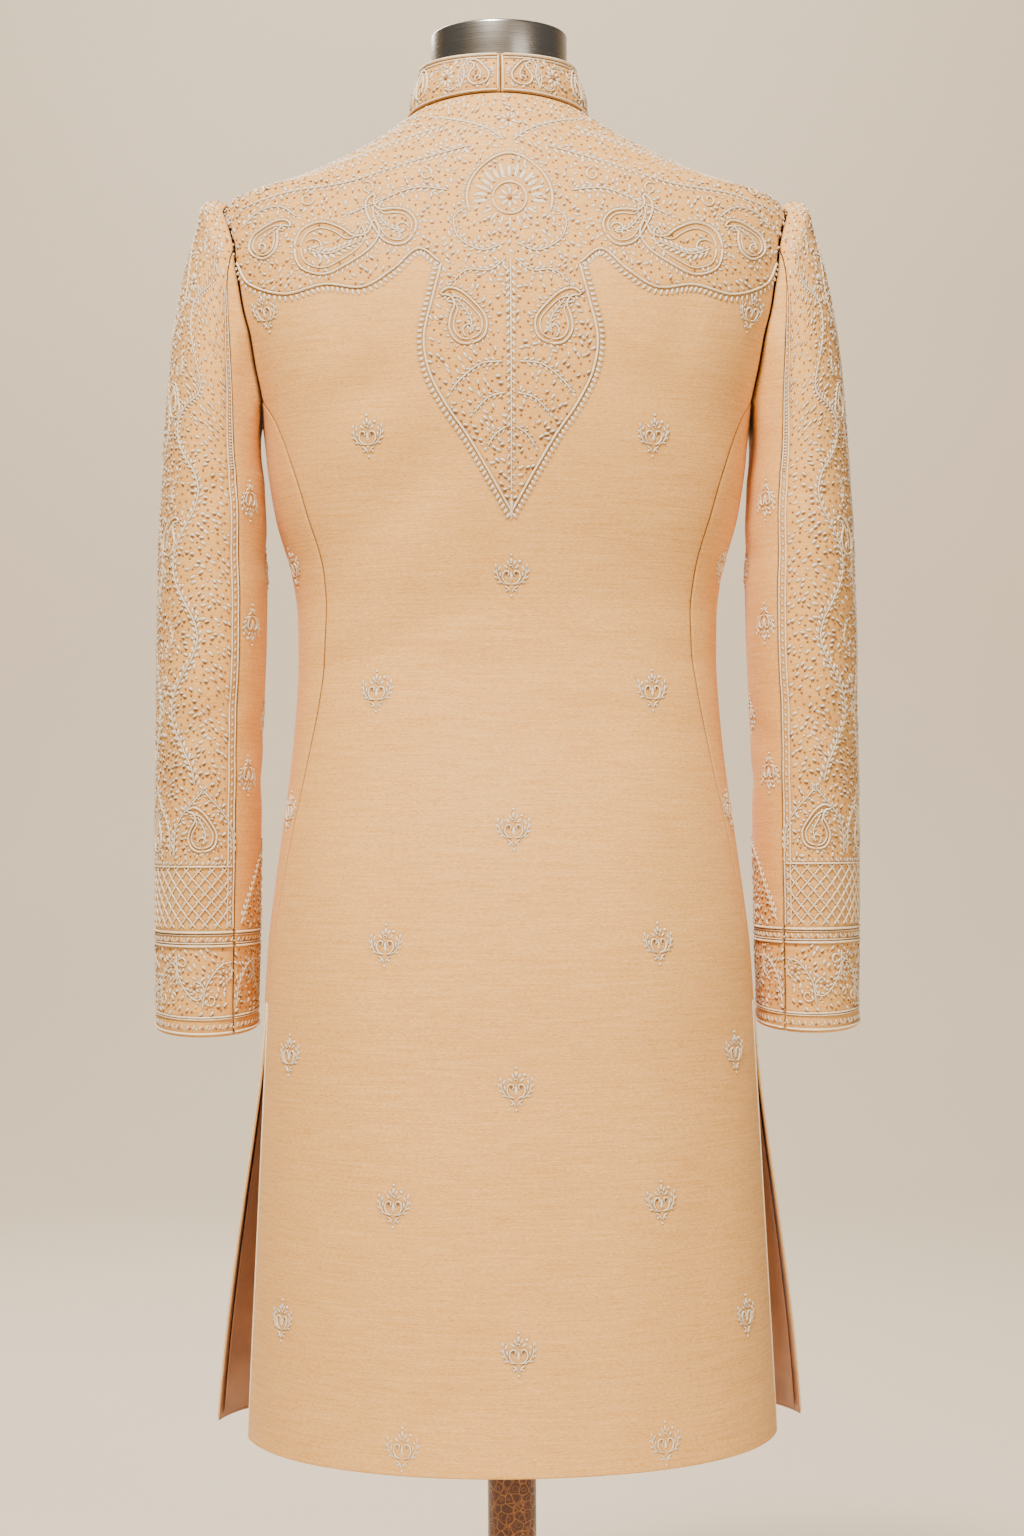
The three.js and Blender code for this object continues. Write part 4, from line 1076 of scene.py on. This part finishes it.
def fill(pen, spots, places, dots=8.2, gap=3.7, seed=1):
    """Fills what is left between the motifs: brown knots, and leaves that follow the nearest stem, many of them with a
    painted shadow, a dark brown leaf shape just below.
    spots are places in the plan, and places the same ones on the cloth."""
    drawn, ways = pen.samples()
    index = KDTree(len(drawn))
    for k, p in enumerate(drawn):
        index.insert((p[0], p[1], 0), k)
    index.balance()
    chance = np.random.default_rng(seed).random(len(spots))
    taken = {}

    def free(p, distance):
        cell = tuple((p // 4).astype(int))
        for dx in (-2, -1, 0, 1, 2):
            for dy in (-2, -1, 0, 1, 2):
                for dz in (-2, -1, 0, 1, 2):
                    for q, room in taken.get((cell[0] + dx, cell[1] + dy, cell[2] + dz), ()):
                        if (p[0] - q[0])**2 + (p[1] - q[1])**2 + (p[2] - q[2])**2 < (distance + room)**2 / 4:
                            return False
        return True

    def take(p, room):
        taken.setdefault(tuple((p // 4).astype(int)), []).append((p, room))

    near = [index.find((x, y, 0)) for x, y in spots]
    for k, (spot, place) in enumerate(zip(spots, places)):
        if k < 0.25 * len(spots) and near[k][2] > 2.3 and free(place, dots):
            take(place, dots * 0.62)
            pen.bead(*spot, 0.95, BROWN)
    for k, (spot, place) in enumerate(zip(spots, places)):
        if near[k][2] < 2.5 or not free(place, gap):
            continue
        take(place, gap)
        way = ways[near[k][1]]
        way = way / max(np.linalg.norm(way), 1e-6)
        off = spot - drawn[near[k][1]]
        side = np.sign(way[0] * off[1] - way[1] * off[0]) or 1
        way = turned(way, side * (30 + 40 * chance[k]))
        size = 4.8 + 1.8 * chance[k]
        if chance[k] > 0.9:
            pen.bead(*spot, 1.15)
        else:
            pen.leaf(spot - way * size / 2, spot + way * size / 2, 2.3 + 0.5 * chance[k])
            if chance[k] < 0.62:  # a painted shadow: a dark brown leaf shape laid just below the leaf
                under = spot - (0, 1.9)
                pen.leaf(under - way * size * 0.36, under + way * size * 0.36, 1.5, BROWN)


def lay(name, works, mirrored=False):
    """One object of all the stitches of some plans. Each work is a plan, its chart and its surface."""
    points, faces, kinds, strands, reliefs = [], [], [], [], []
    count = 0

    def add(u, v, normal, height, surface, triangles, kind, strand):
        nonlocal count
        place = surface(u, v) + normal * (height + SUNK)[..., None]
        points.append(place.reshape(-1, 3))
        faces.append(triangles + count)
        kinds.append(kind)
        strands.append(strand.reshape(-1, 2))
        reliefs.append(np.broadcast_to(height / height.max(), place.shape[:-1]).ravel())
        count += place.size // 3

    for pen, chart, surface in works:
        step_v = 0.002 if chart(np.zeros((1, 2)))[1].max() <= 2.5 else 0.5
        if pen.leaves:
            data = np.array(pen.leaves)
            foot, tip, width, kind = data[:, :2], data[:, 2:4], data[:, 4], data[:, 5]
            (u, v), (u2, v2) = chart(foot), chart(tip)
            _, normal, mu, mv = local_frame(surface, u, v, 1, dv=step_v)
            way = unit(np.stack([(u2 - u) * mu, (v2 - v) * mv], -1))
            side = np.stack([-way[:, 1], way[:, 0]], -1)
            length = np.linalg.norm(tip - foot, axis=1)
            s, t = length[:, None] * LEAF[:, 0], width[:, None] / 2 * LEAF[:, 1]
            offset = way[:, None] * s[..., None] + side[:, None] * t[..., None]
            height = (LEAF_RISE * width)[:, None] * LEAF[:, 2]
            triangles = (LEAF_FACES[None, :, ::-1] + 8 * np.arange(len(data))[:, None, None]).reshape(-1, 3)
            add(u[:, None] + offset[..., 0] / mu[:, None], v[:, None] + offset[..., 1] / mv[:, None],
                normal[:, None], height, surface, triangles, np.repeat(kind, len(LEAF_FACES)), np.stack([s, t], -1))
        if pen.beads:
            data = np.array(pen.beads)
            u, v = chart(data[:, :2])
            _, normal, mu, mv = local_frame(surface, u, v, 1, dv=step_v)
            s, t, height = (data[:, 2:3] * BEAD[:, k] for k in range(3))
            triangles = (BEAD_FACES[None, :, ::-1] + 13 * np.arange(len(data))[:, None, None]).reshape(-1, 3)
            add(u[:, None] + s / mu[:, None], v[:, None] + t / mv[:, None], normal[:, None], height, surface,
                triangles, np.repeat(data[:, 3], len(BEAD_FACES)), np.stack([s, t], -1))
        if pen.cords:
            lines = [line for line, _, _ in pen.cords]
            sizes = [len(line) for line in lines]
            u, v = chart(np.concatenate(lines))
            _, normal, mu, mv = local_frame(surface, u, v, 1, dv=step_v)
            starts = np.concatenate([[0], np.cumsum(sizes)])
            way = np.concatenate([
                np.stack([np.gradient(u[a:b]) * mu[a:b], np.gradient(v[a:b]) * mv[a:b]], -1)
                for a, b in zip(starts, starts[1:])])
            width = np.concatenate([np.full(n, w) for n, (_, w, _) in zip(sizes, pen.cords)])
            along = np.concatenate([np.arange(n) * 2.2 for n in sizes])
            at_end = np.zeros(starts[-1], bool)
            at_end[starts[:-1]] = at_end[starts[1:] - 1] = True
            way = unit(way)
            side = np.stack([-way[:, 1], way[:, 0]], -1)
            taper = np.where(at_end, 0.35, 1)
            t = (width * taper)[:, None] / 2 * CORD_SECTION[:, 0]
            height = (CORD_RISE * width * taper)[:, None] * CORD_SECTION[:, 1]
            inside = np.ones(starts[-1], bool)
            inside[starts[1:] - 1] = False
            k = np.flatnonzero(inside)[:, None] * 4 + np.arange(3)
            quads = np.stack([k, k + 4, k + 5, k + 1], -1).reshape(-1, 4)
            triangles = np.concatenate([quads[:, [0, 1, 2]], quads[:, [0, 2, 3]]])
            kind = np.concatenate([np.full(n - 1, c) for n, (_, _, c) in zip(sizes, pen.cords)]).repeat(3)
            offset = side[:, None] * t[..., None]
            add(u[:, None] + offset[..., 0] / mu[:, None], v[:, None] + offset[..., 1] / mv[:, None],
                normal[:, None], height, surface, triangles, np.concatenate([kind, kind]),
                np.stack([along[:, None] + 1.5 * t, t], -1))
    return mesh_object(name, np.concatenate(points), np.concatenate(faces), [THREAD, CORD, KNOT_AND_SHADOW],
                       np.concatenate(kinds), mirrored, np.concatenate(strands), np.concatenate(reliefs))


# ---- Charts: from a plan to the two parameters of a surface ----
def seen_flat(front=False, flared=0):
    """The body as seen level from behind or, for the front, through to it: across, and level."""
    def chart(plan):
        x, z = plan[:, 0], plan[:, 1]
        level, s = z, np.zeros_like(x)
        for _ in range(8):
            section = body_at(np.minimum(level, NECK))
            corner = 1 + section["square"] * 4 * s * s * (1 - s * s)
            half = (section["half"] + flared * section["flare"]) * corner
            s = np.clip((x - section["shift"]) / half, -0.998, 0.998)
            level = z - section["riseFront" if front else "riseBack"] * (1 - s * s)
        angle = np.degrees(np.arcsin(s))
        return (180 - angle if front else angle), np.minimum(level, NECK)

    return chart


def anchored(surface, u, v, dv=0.5):
    """A small plan about one place of a surface."""
    _, _, mu, mv = local_frame(surface, np.array(float(u)), np.array(float(v)), 1, dv=dv)
    return lambda plan: (u + plan[:, 0] / mu, v + plan[:, 1] / mv)


def beside(surface, edge):
    """A plan along an edge of a panel: distance past the edge, and level."""
    def chart(plan):
        level = plan[:, 1]
        angle = edge(level)
        return angle + clear_of(surface, angle, level, plan[:, 0]), level

    return chart


# How far round a sleeve a share of the way to its seam lies, on a middle section.
HALF_TURN = np.radians(np.linspace(0, 124, 125))
HALF_SPAN = np.concatenate([[0], np.cumsum(np.hypot(*(np.diff(np.stack([43.5 * np.cos(HALF_TURN),
                                                                       66 * np.sin(HALF_TURN)])))))])
HALF_SPAN /= HALF_SPAN[-1]
SLEEVE_HALF = 116  # nominal width of the top sleeve from its outer line to a seam
UNDER_WIDTH = 112  # nominal width of the under sleeve


def along_sleeve(surface, around):
    """Heights above the cuff along one line of a sleeve, and where each is down it."""
    down = np.linspace(2, 0.0, 240)
    line = surface(np.full(240, float(around)), down)
    return np.concatenate([[0], np.cumsum(np.linalg.norm(np.diff(line, axis=0), axis=1))]), down


def on_top_sleeve(surface):
    height, down_at = along_sleeve(surface, 0)

    def chart(plan):
        down = np.interp(plan[:, 1], height, down_at)
        seams = sleeve_seams(down)
        share = plan[:, 0] / SLEEVE_HALF
        part = np.interp(np.abs(share), HALF_SPAN, np.linspace(0, 1, 125))
        return np.where(share > 0, part * seams["backSeam"], -part * (360 - seams["frontSeam"])), down

    return chart, height[-1]


def on_under_sleeve(surface):
    height, down_at = along_sleeve(surface, 180)

    def chart(plan):
        down = np.interp(plan[:, 1], height, down_at)
        seams = sleeve_seams(down)
        share = plan[:, 0] / UNDER_WIDTH
        return seams["backSeam"] + share * (seams["frontSeam"] - seams["backSeam"]), down

    return chart


def on_collar(plan):
    return plan[:, 0] / 1.215, COLLAR["level"][0] + plan[:, 1]


# ---- Plans ----
CUFF_BANDS = {"hem": 2.6, "hem_top": 15, "line": 70, "line_top": 81, "trellis_top": 134}


def inside(spots, outline):
    """Which spots lie inside a closed outline."""
    x, y = spots.T
    result = np.zeros(len(spots), bool)
    for (x1, y1), (x2, y2) in zip(outline, np.roll(outline, -1, axis=0)):
        crosses = (y1 > y) != (y2 > y)
        result ^= crosses & (x < (x2 - x1) * (y - y1) / np.where(y2 == y1, 1, y2 - y1) + x1)
    return result


def cuff_bands(pen, low, high):
    """The bands round the cuff, from one seam to the other."""
    b = CUFF_BANDS
    for y, width in ((b["hem"], 1.8), (b["hem_top"] - 1.6, 1.2), (b["hem_top"], 1.4), (b["line"], 1.8),
                     (b["line_top"], 1.8), (b["line"] + 2.2, 1.0), (b["line_top"] - 2.2, 1.0)):
        pen.cord([(low + 1, y), ((low + high) / 2, y), (high - 1, y)], width)
    for k, x in enumerate(np.arange(low + 4, high - 3, 5.6)):
        for y in (b["hem"] + 5.2, (b["line"] + b["line_top"]) / 2):
            pen.leaf((x, y - 2.4), (x + 2.6, y + 2.6), 2.2)
            pen.bead(x + 3.4, y - 1.4, 1.0, BROWN if k % 2 else LIGHT)


def top_sleeve_plan(length):
    pen = Pen()
    w = SLEEVE_HALF
    b = CUFF_BANDS
    cuff_bands(pen, -w, w)
    # Scrolls between the two bands.
    middle = (b["hem_top"] + b["line"]) / 2
    for k, x in enumerate(np.arange(-w + 14, w - 8, 25)):
        p = pen.at(x, middle, flip=k % 2 == 1, turn=180 * (k % 2))
        p.spray([(-11, -21), (-8, -4), (2, 10), (11, 14), (15, 5), (9, -1)], 6.5, 5.6)
        p.flower(7, 5, 6, 1.6, 5.4, 2.4)
        p.curl(-4, -14, 5, 200, 1.1)
    # Trellis.
    rise = b["trellis_top"] - b["line_top"] - 3
    for x in np.arange(-w - rise, w, 10.5):
        for sign in (1, -1):
            ends = np.array([(x, 0), (x + rise * 0.86, rise)])
            cut = [(sign * px, b["line_top"] + 3 + py) for px, py in flowing(ends, step=2.2) if abs(px) < w - 2]
            if len(cut) > 3:
                pen.cord(cut, 1.25)
    for row in range(9):
        y = b["line_top"] + 3 + 3.05 + 6.1 * row
        for x in np.arange(-w + 4 + (row % 2) * 5.25, w - 3, 10.5):
            pen.leaf((x - 1.6, y - 1.6), (x + 1.6, y + 1.9), 2.2)
    pen.cord([(-w + 2, b["trellis_top"]), (0, b["trellis_top"]), (w - 2, b["trellis_top"])], 1.5)
    pen.petals_along([(x, b["trellis_top"]) for x in (-w + 3, 0, w - 3)], 4.6, 4.6, 1, 62)
    # Arches that spring from the trellis.
    foot = b["trellis_top"] + 8
    for k, x in enumerate((-87, -29, 29, 87)):
        p = pen.at(x, foot)
        p.spray([(-27, 0), (-23, 26), (0, 54)], 7, 5.6)
        p.spray([(27, 0), (23, 26), (0, 54)], 7, 5.6)
        paisley(p.at(0, 15, flip=k % 2 == 1), 36)
    # Waving stems with a sprig in each space between them, up to the shoulder.
    low, high, period, swing = foot + 58, length - 8, 118, 12
    columns = np.arange(-w + 16, w - 10, 42)
    for k, x in enumerate(columns):
        y = np.arange(low - 16 * (k % 2), high, period / 8)
        wave = x + swing * (1 - 2 * (k % 2)) * np.cos(2 * math.pi * (y - low) / period)
        pen.spray(np.stack([wave, y], -1), 7.5, 5.8, tip=False)
        for row in range(int((high - low) / period) + 1):
            y = low + period * (row + (0.5 if k % 2 else 0.0)) + 18
            if k < len(columns) - 1 and y < high - 26:
                p = pen.at(x + 21, y, flip=(row + k) % 2 == 1, turn=8 * (-1) ** k)
                if (row + k) % 3:
                    paisley(p, 31)
                else:
                    p.flower(0, 2, 8, 2.2, 8, 3)
                    p.spray([(0, -22), (1, -14), (0, -9)], 6, 5, tip=False)
                p.spray([(2, 32), (-2, 42), (3, 52)], 6.5, 5.2)
    # A narrow border beside each seam.
    for side in (-1, 1):
        for x, width in ((w - 1.8, 1.2), (w - 7.5, 1.2)):
            pen.cord([(side * x, y) for y in np.arange(b["line_top"] + 2, length - 4, 40)], width)
        for y in np.arange(b["line_top"] + 4, length - 8, 6):
            pen.leaf((side * (w - 6), y), (side * (w - 3), y + 3.6), 1.9)
    return pen


def under_sleeve_plan():
    pen = Pen()
    cuff_bands(pen, 0, UNDER_WIDTH)
    b = CUFF_BANDS
    middle = (b["hem_top"] + b["line"]) / 2
    for k, x in enumerate(np.arange(14, UNDER_WIDTH - 8, 25)):
        p = pen.at(x, middle, flip=k % 2 == 1, turn=180 * (k % 2))
        p.spray([(-11, -21), (-8, -4), (2, 10), (11, 14), (15, 5), (9, -1)], 6.5, 5.6)
        p.flower(7, 5, 6, 1.6, 5.4, 2.4)
    pen.spray([(8, b["line_top"] + 6), (22, 112), (40, 138), (62, 152)], 7, 5.6)
    pen.spray([(104, b["line_top"] + 6), (98, 116), (80, 142), (64, 154)], 7, 5.6)
    return pen


YOKE_EDGE = [(218, 1382), (207, 1362), (178, 1350), (146, 1355), (116, 1351), (92, 1364), (72, 1380), (54, 1368),
             (61, 1341), (68, 1310), (64, 1283), (51, 1257), (35, 1234), (17, 1204), (0, 1174)]


def wing(pen):
    """The half of the yoke that covers one shoulder blade, or one side of the chest."""
    pen.cord(YOKE_EDGE[:8], 1.7)
    pen.petals_along(YOKE_EDGE[:8], 6, 4.2, 1, 70, width=2.8)
    paisley(pen.at(150, 1384, turn=96), 66)
    paisley(pen.at(88, 1398, turn=-64, flip=True), 46)
    paisley(pen.at(196, 1392, turn=30, flip=True), 36)
    pen.spray([(30, 1466), (74, 1454), (128, 1438), (176, 1434), (214, 1426)], 7.5, 5.6)
    pen.spray([(52, 1484), (96, 1472), (140, 1458), (176, 1448)], 7, 5.6)
    pen.spray([(48, 1428), (76, 1430), (108, 1418), (128, 1410)], 7, 5.6)
    pen.spray([(214, 1408), (200, 1420), (182, 1422), (168, 1412)], 7, 5.6)
    for x, y, start in ((112, 1432, 40), (160, 1426, 160), (66, 1442, 80), (200, 1440, 20)):
        pen.curl(x, y, 6, start)


def back_yoke_plan():
    pen = Pen()
    lotus(pen.at(0, 1421), 33)
    for side in (False, True):
        p = pen.at(0, 0, flip=side)
        wing(p)
        p.cord(YOKE_EDGE[7:], 1.7)
        p.petals_along(YOKE_EDGE[7:], 6, 4.2, 1, 70, width=2.8)
        p.spray([(3, 1470), (16, 1480), (34, 1487), (56, 1493)], 6.5, 5.4)
        p.spray([(4, 1384), (22, 1378), (40, 1388), (44, 1404), (36, 1412)], 7, 5.4)
        p.spray([(3, 1372), (16, 1362), (34, 1362), (46, 1352)], 7, 5.4)
        paisley(p.at(33, 1318, turn=-10), 46)
        p.spray([(6, 1290), (24, 1288), (40, 1276), (48, 1266)], 6.5, 5.2)
        p.spray([(4, 1266), (18, 1262), (30, 1250)], 6, 5)
        p.spray([(3, 1240), (12, 1234), (19, 1224)], 5.5, 4.8)
        for y in np.arange(1200, 1360, 7.5):
            p.bead(2.6, y, 1.0, BROWN if round(y / 7.5) % 2 else LIGHT)
    pen.spray([(0, 1372), (0, 1340), (0, 1300), (0, 1240), (0, 1188)], 7.5, 6, first=1)
    pen.flower(0, 1488, 7, 1.8, 8, 3)
    pen.leaf((0, 1186), (0, 1166), 3.4)
    return pen


def front_yoke_plan(left):
    pen = Pen()
    wing(pen)
    for line in ([(54, 1368), (46, 1346), (37, 1322)],):
        pen.cord(line, 1.6)
        pen.petals_along(line, 5, 4.4, -1, 64)
    pen.spray([(42, 1340), (46, 1380), (44, 1420), (50, 1452)], 7, 5.6)
    if left:
        for x, low in ((36, HEM + 4), (9.5, HEM + 4), (-16, HEM + 4)):
            pen.cord([(x, y) for y in np.arange(low, 1477, 30)], 1.4)
        y = np.arange(HEM + 12, 1470, 11)
        pen.spray(np.stack([22.5 + 5.5 * np.cos(2 * math.pi * y / 66), y], -1), 6.5, 5.6)
        for y in np.arange(HEM + 8, 1470, 8):
            pen.bead(-12.6, y, 1.1, BROWN if round(y / 8) % 2 else LIGHT)
            pen.leaf((38.2, y), (42.4, y + 3.2), 2.1)
    return pen


def collar_plan():
    pen = Pen()
    end, top = 217, COLLAR_TOP - COLLAR["level"][0]
    for y, width in ((2.6, 1.5), (top - 1.8, 1.9), (top - 5.5, 1.2)):
        pen.cord([(x, y) for x in np.linspace(1.5, end, 24)], width)
    pen.cord([(2, 2), (2, top / 2), (2, top - 2)], 1.3)
    for k, x in enumerate(np.arange(17, end - 8, 29)):
        p = pen.at(x, 19.5, flip=k % 2 == 1)
        if k % 2:
            p.flower(0, 0, 8, 2.2, 8.4, 3)
            p.spray([(0, -9.5), (6, -13), (12, -10)], 5, 4.6)
            p.spray([(0, 9.5), (-6, 13), (-12, 10)], 5, 4.6)
        else:
            paisley(p.at(0, -3), 26)
        p.spray([(14, -14), (17, 0), (13, 13)], 5.5, 4.8)
    return pen


def slit_border_plan(low, high):
    pen = Pen()
    y = np.arange(low, high, 9)
    pen.spray(np.stack([6.5 + 2.4 * np.cos(2 * math.pi * y / 36), y], -1), 5.6, 5)
    pen.cord([(1.6, y) for y in np.arange(low, high, 25)], 1.6)
    pen.cord([(12.5, y) for y in np.arange(low, high, 25)], 1.1)
    for y in np.arange(low + 2, high, 5):
        pen.leaf((0.8, y), (3.4, y + 2.6), 2.0)
    return pen


def edge_cord_plan(low, high, x):
    pen = Pen()
    pen.cord([(x, y) for y in np.arange(low, high, 25)], 1.3)
    return pen


def spots_on(surface, u, v, count, seed):
    """Spots spread evenly over part of a surface, given by its two parameters."""
    r = np.random.default_rng(seed)
    us, vs = r.uniform(*u, 3 * count), r.uniform(*v, 3 * count)
    _, _, mu, mv = local_frame(surface, us, vs, 1)
    keep = np.flatnonzero(r.random(3 * count) < mu * mv / np.quantile(mu * mv, 0.98))[:count]
    return surface(us[keep], vs[keep])


def fill_flat(pen, chart, surface, low, high, outline, count, seed, **spacing):
    """Fills a part of a plan that is nearly flat on its surface."""
    r = np.random.default_rng(seed)
    spots = r.uniform(low, high, (count, 2))
    if outline is not None:
        spots = spots[inside(spots, np.array(outline, float))]
    fill(pen, spots, surface(*chart(spots)), seed=seed, **spacing)


STITCHES = {}
# The back: the yoke and the scattered sprigs. The sprigs' columns drop by half a pitch from one to the next.
pen = back_yoke_plan()
places = spots_on(back_surface, (-89, 89), (1168, NECK - 2), 26000, 3)
outline = np.array([(236, 1430), *YOKE_EDGE], float)
outline = np.concatenate([
    [(90, 1530), (236, 1452)], outline, outline[::-1][1:] * (-1, 1), [(-236, 1452), (-90, 1530)]])
shown = inside(places[:, [0, 2]], outline) & (np.abs(places[:, 0]) < 232)
places = places[shown]
fill(pen, places[:, [0, 2]], places, seed=4)
works = [(pen, seen_flat(), back_surface)]
SPRIG_PITCH = 200
SPRIGS = {"centre": 1125, "inner": 1235, "outer": 1338}  # level of each column's top sprig
pen = Pen()
butta(pen)
for row in range(4):
    level = SPRIGS["centre"] - SPRIG_PITCH * row
    works.append((pen, anchored(back_surface, 0, level), back_surface))


def back_angle(x, level):
    return float(seen_flat()(np.array([[x, level]], float))[0][0])


for side in (1, -1):
    for row in range(5):
        level = SPRIGS["inner"] - SPRIG_PITCH * row
        x = side * 113 - (6 * row if side > 0 else 0)
        level = max(level, HEM + 20)
        works.append((pen, anchored(back_surface, back_angle(x, level), level), back_surface))
    for drop, x in ((0, 195), (3 * SPRIG_PITCH - 8, 178), (4 * SPRIG_PITCH, 184)):
        level = SPRIGS["outer"] - drop
        works.append((pen, anchored(back_surface, back_angle(side * x, level), level), back_surface))
for sign in (1, -1):
    edge_pen = edge_cord_plan(HEM + 1, SLIT_TOP, -1.6 * sign)
    chart = beside(back_surface, lambda level, sign=sign: sign * seams_at(level)["back"])
    works.append((edge_pen, chart, back_surface))
STITCHES["back"] = lay("back_embroidery", works)

for side, mirrored in (("left", False), ("right", True)):
    # Fronts: yoke, sprigs, and the band beside the buttons on the left one.
    surface = turned_over(body(1, wrapped=not mirrored), mirrored)
    chart = seen_flat(front=True, flared=1)
    pen = front_yoke_plan(not mirrored)
    places = spots_on(surface, (91, 180), (1300, NECK - 2), 13000, 5)
    near_edge = 37 if not mirrored else 24
    outline = np.array([(near_edge, 1322), (54, 1368), *YOKE_EDGE[6::-1],
                        (236, 1430), (236, 1452), (90, 1530), (near_edge, 1530)], float)
    shown = inside(places[:, [0, 2]], outline) & (places[:, 1] < 0)
    places = places[shown]
    fill(pen, places[:, [0, 2]], places, seed=6)
    works = [(pen, chart, surface)]
    sprig = Pen()
    butta(sprig)
    for level, x in ((1235, 92), (1035, 88), (835, 92), (635, 96), (1135, 140), (935, 138), (735, 152), (535, 164),
                     (1290, 158)):
        angle = float(chart(np.array([[x, level]], float))[0][0])
        works.append((sprig, anchored(surface, angle, level), surface))
    STITCHES[f"front_{side}"] = lay(f"front_{side}_embroidery", works, mirrored)
    # Side panels: the border of the slit, and two sprigs.
    surface = turned_over(body(1), mirrored)
    works = [(slit_border_plan(HEM + 2, SLIT_TOP - 4), beside(surface, side_edge), surface)]
    for angle, level in ((77, 1138), (76, 940), (100, 1040), (100, 840)):
        works.append((sprig, anchored(surface, angle, level), surface))
    STITCHES[f"side_{side}"] = lay(f"side_{side}_embroidery", works, mirrored)
    # Collar.
    surface = turned_over(collar, mirrored)
    pen = collar_plan()
    fill_flat(pen, on_collar, surface, (4, 4), (215, 35), None, 5000, 7)
    STITCHES[f"collar_{side}"] = lay(f"collar_{side}_embroidery", [(pen, on_collar, surface)], mirrored)
    # Sleeves.
    surface = sleeve(turned_over(body(1), mirrored))
    chart, length = on_top_sleeve(surface)
    pen = top_sleeve_plan(length)
    w, b = SLEEVE_HALF - 9, CUFF_BANDS
    fill_flat(pen, chart, surface, (-w, b["trellis_top"] + 5), (w, length - 5), None, 34000, 8)
    fill_flat(pen, chart, surface, (-w, b["hem_top"] + 2), (w, b["line"] - 2), None, 5000, 9)
    STITCHES[f"sleeve_top_{side}"] = lay(f"sleeve_top_{side}_embroidery", [(pen, chart, surface)], mirrored)
    chart = on_under_sleeve(surface)
    pen = under_sleeve_plan()
    low_field = [(2, 17), (UNDER_WIDTH - 2, 17), (UNDER_WIDTH - 2, 68), (2, 68)]
    fill_flat(pen, chart, surface, (0, 15), (UNDER_WIDTH, 70), low_field, 3500, 10)
    crest = [(6, 84), (20, 112), (38, 138), (62, 152), (80, 142), (98, 116), (106, 84)]
    fill_flat(pen, chart, surface, (0, 82), (UNDER_WIDTH, 156), crest, 3500, 11)
    works = [(pen, chart, surface)]
    for x, y in ((16, 208), (52, 258), (16, 330), (60, 380), (16, 430)):
        u, v = chart(np.array([[x, y]], float))
        works.append((sprig, anchored(surface, float(u[0]), float(v[0]), 0.002), surface))
    STITCHES[f"sleeve_under_{side}"] = lay(f"sleeve_under_{side}_embroidery", works, mirrored)

# ---- Stage ----
FLOOR_BACK, FLOOR_FRONT = -4.4, 6.2  # where the floor begins to rise into the paper, behind and before the camera
COVE_RADIUS = 1.6
PAPER_HEIGHT, PAPER_SIDE = 9, 16


def rise(start, way):
    """The profile of floor turning up into a wall, as (y, z) in metres."""
    cove = [(start + way * COVE_RADIUS * math.sin(t), COVE_RADIUS * (1 - math.cos(t)))
            for t in np.linspace(0.1, math.pi / 2, 14)]
    return [(start, 0), *cove, (start + way * COVE_RADIUS, PAPER_HEIGHT)]


profile = [*rise(FLOOR_FRONT, 1)[::-1], *rise(FLOOR_BACK, -1)]
points = [(x * 1000, y * 1000, z * 1000) for y, z in profile for x in (-PAPER_SIDE, PAPER_SIDE)]
faces = [(2 * k, 2 * k + 1, 2 * k + 3, 2 * k + 2) for k in range(len(profile) - 1)]
PAPER = plain("backdrop_paper", srgb(236, 222, 200), 0.9)
backdrop = mesh_object("backdrop", points, faces, [PAPER])


def softbox(name, place, aim, size, power, colour):
    light = bpy.data.lights.new(name, "AREA")
    light.shape, light.size, light.energy, light.color = "SQUARE", size, power, colour
    lamp = bpy.data.objects.new(name, light)
    lamp.location = place
    lamp.rotation_euler = (Vector(aim) - Vector(place)).to_track_quat("-Z", "Y").to_euler()
    bpy.context.scene.collection.objects.link(lamp)


WARM = (1, 0.93, 0.84)
softbox("key", (0.8, 2.4, 4.5), (0, 0, 1.0), 0.7, 450, WARM)
softbox("fill", (-2.2, 3.2, 1.6), (0, 0, 0.9), 1.6, 42, WARM)
softbox("front", (1.2, -3.2, 3.4), (0, 0, 1.0), 1.6, 90, WARM)
softbox("backdrop_wash", (0, -3.2, 4.6), (0, -5.4, 0.8), 3.0, 150, WARM)
world = bpy.data.worlds.new("studio")
world.use_nodes = True
world.node_tree.nodes["Background"].inputs[0].default_value = (1, 0.9, 0.78, 1)
world.node_tree.nodes["Background"].inputs[1].default_value = 0.14
bpy.context.scene.world = world

# ---- Camera: level, behind the coat ----
CAMERA_DISTANCE = 2.31
CAMERA_HEIGHT = 0.936
CAMERA_YAW = math.radians(1.8)
CAMERA_ROLL = math.radians(0.3)
camera_data = bpy.data.cameras.new("camera")
camera_data.lens = 65.6  # on a sensor of 36 mm
camera_data.shift_x, camera_data.shift_y = 0.0023, 0.0306
camera = bpy.data.objects.new("camera", camera_data)
camera.location = (CAMERA_DISTANCE * math.sin(CAMERA_YAW), CAMERA_DISTANCE * math.cos(CAMERA_YAW), CAMERA_HEIGHT)
camera.rotation_euler = (math.pi / 2, CAMERA_ROLL, math.pi - CAMERA_YAW)
bpy.context.scene.collection.objects.link(camera)
bpy.context.scene.camera = camera

# ---- What stands for what ----
for node, piece in PIECES.items():
    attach(piece, "root")
    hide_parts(node)

for node, piece in STITCHES.items():
    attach(piece, "root")
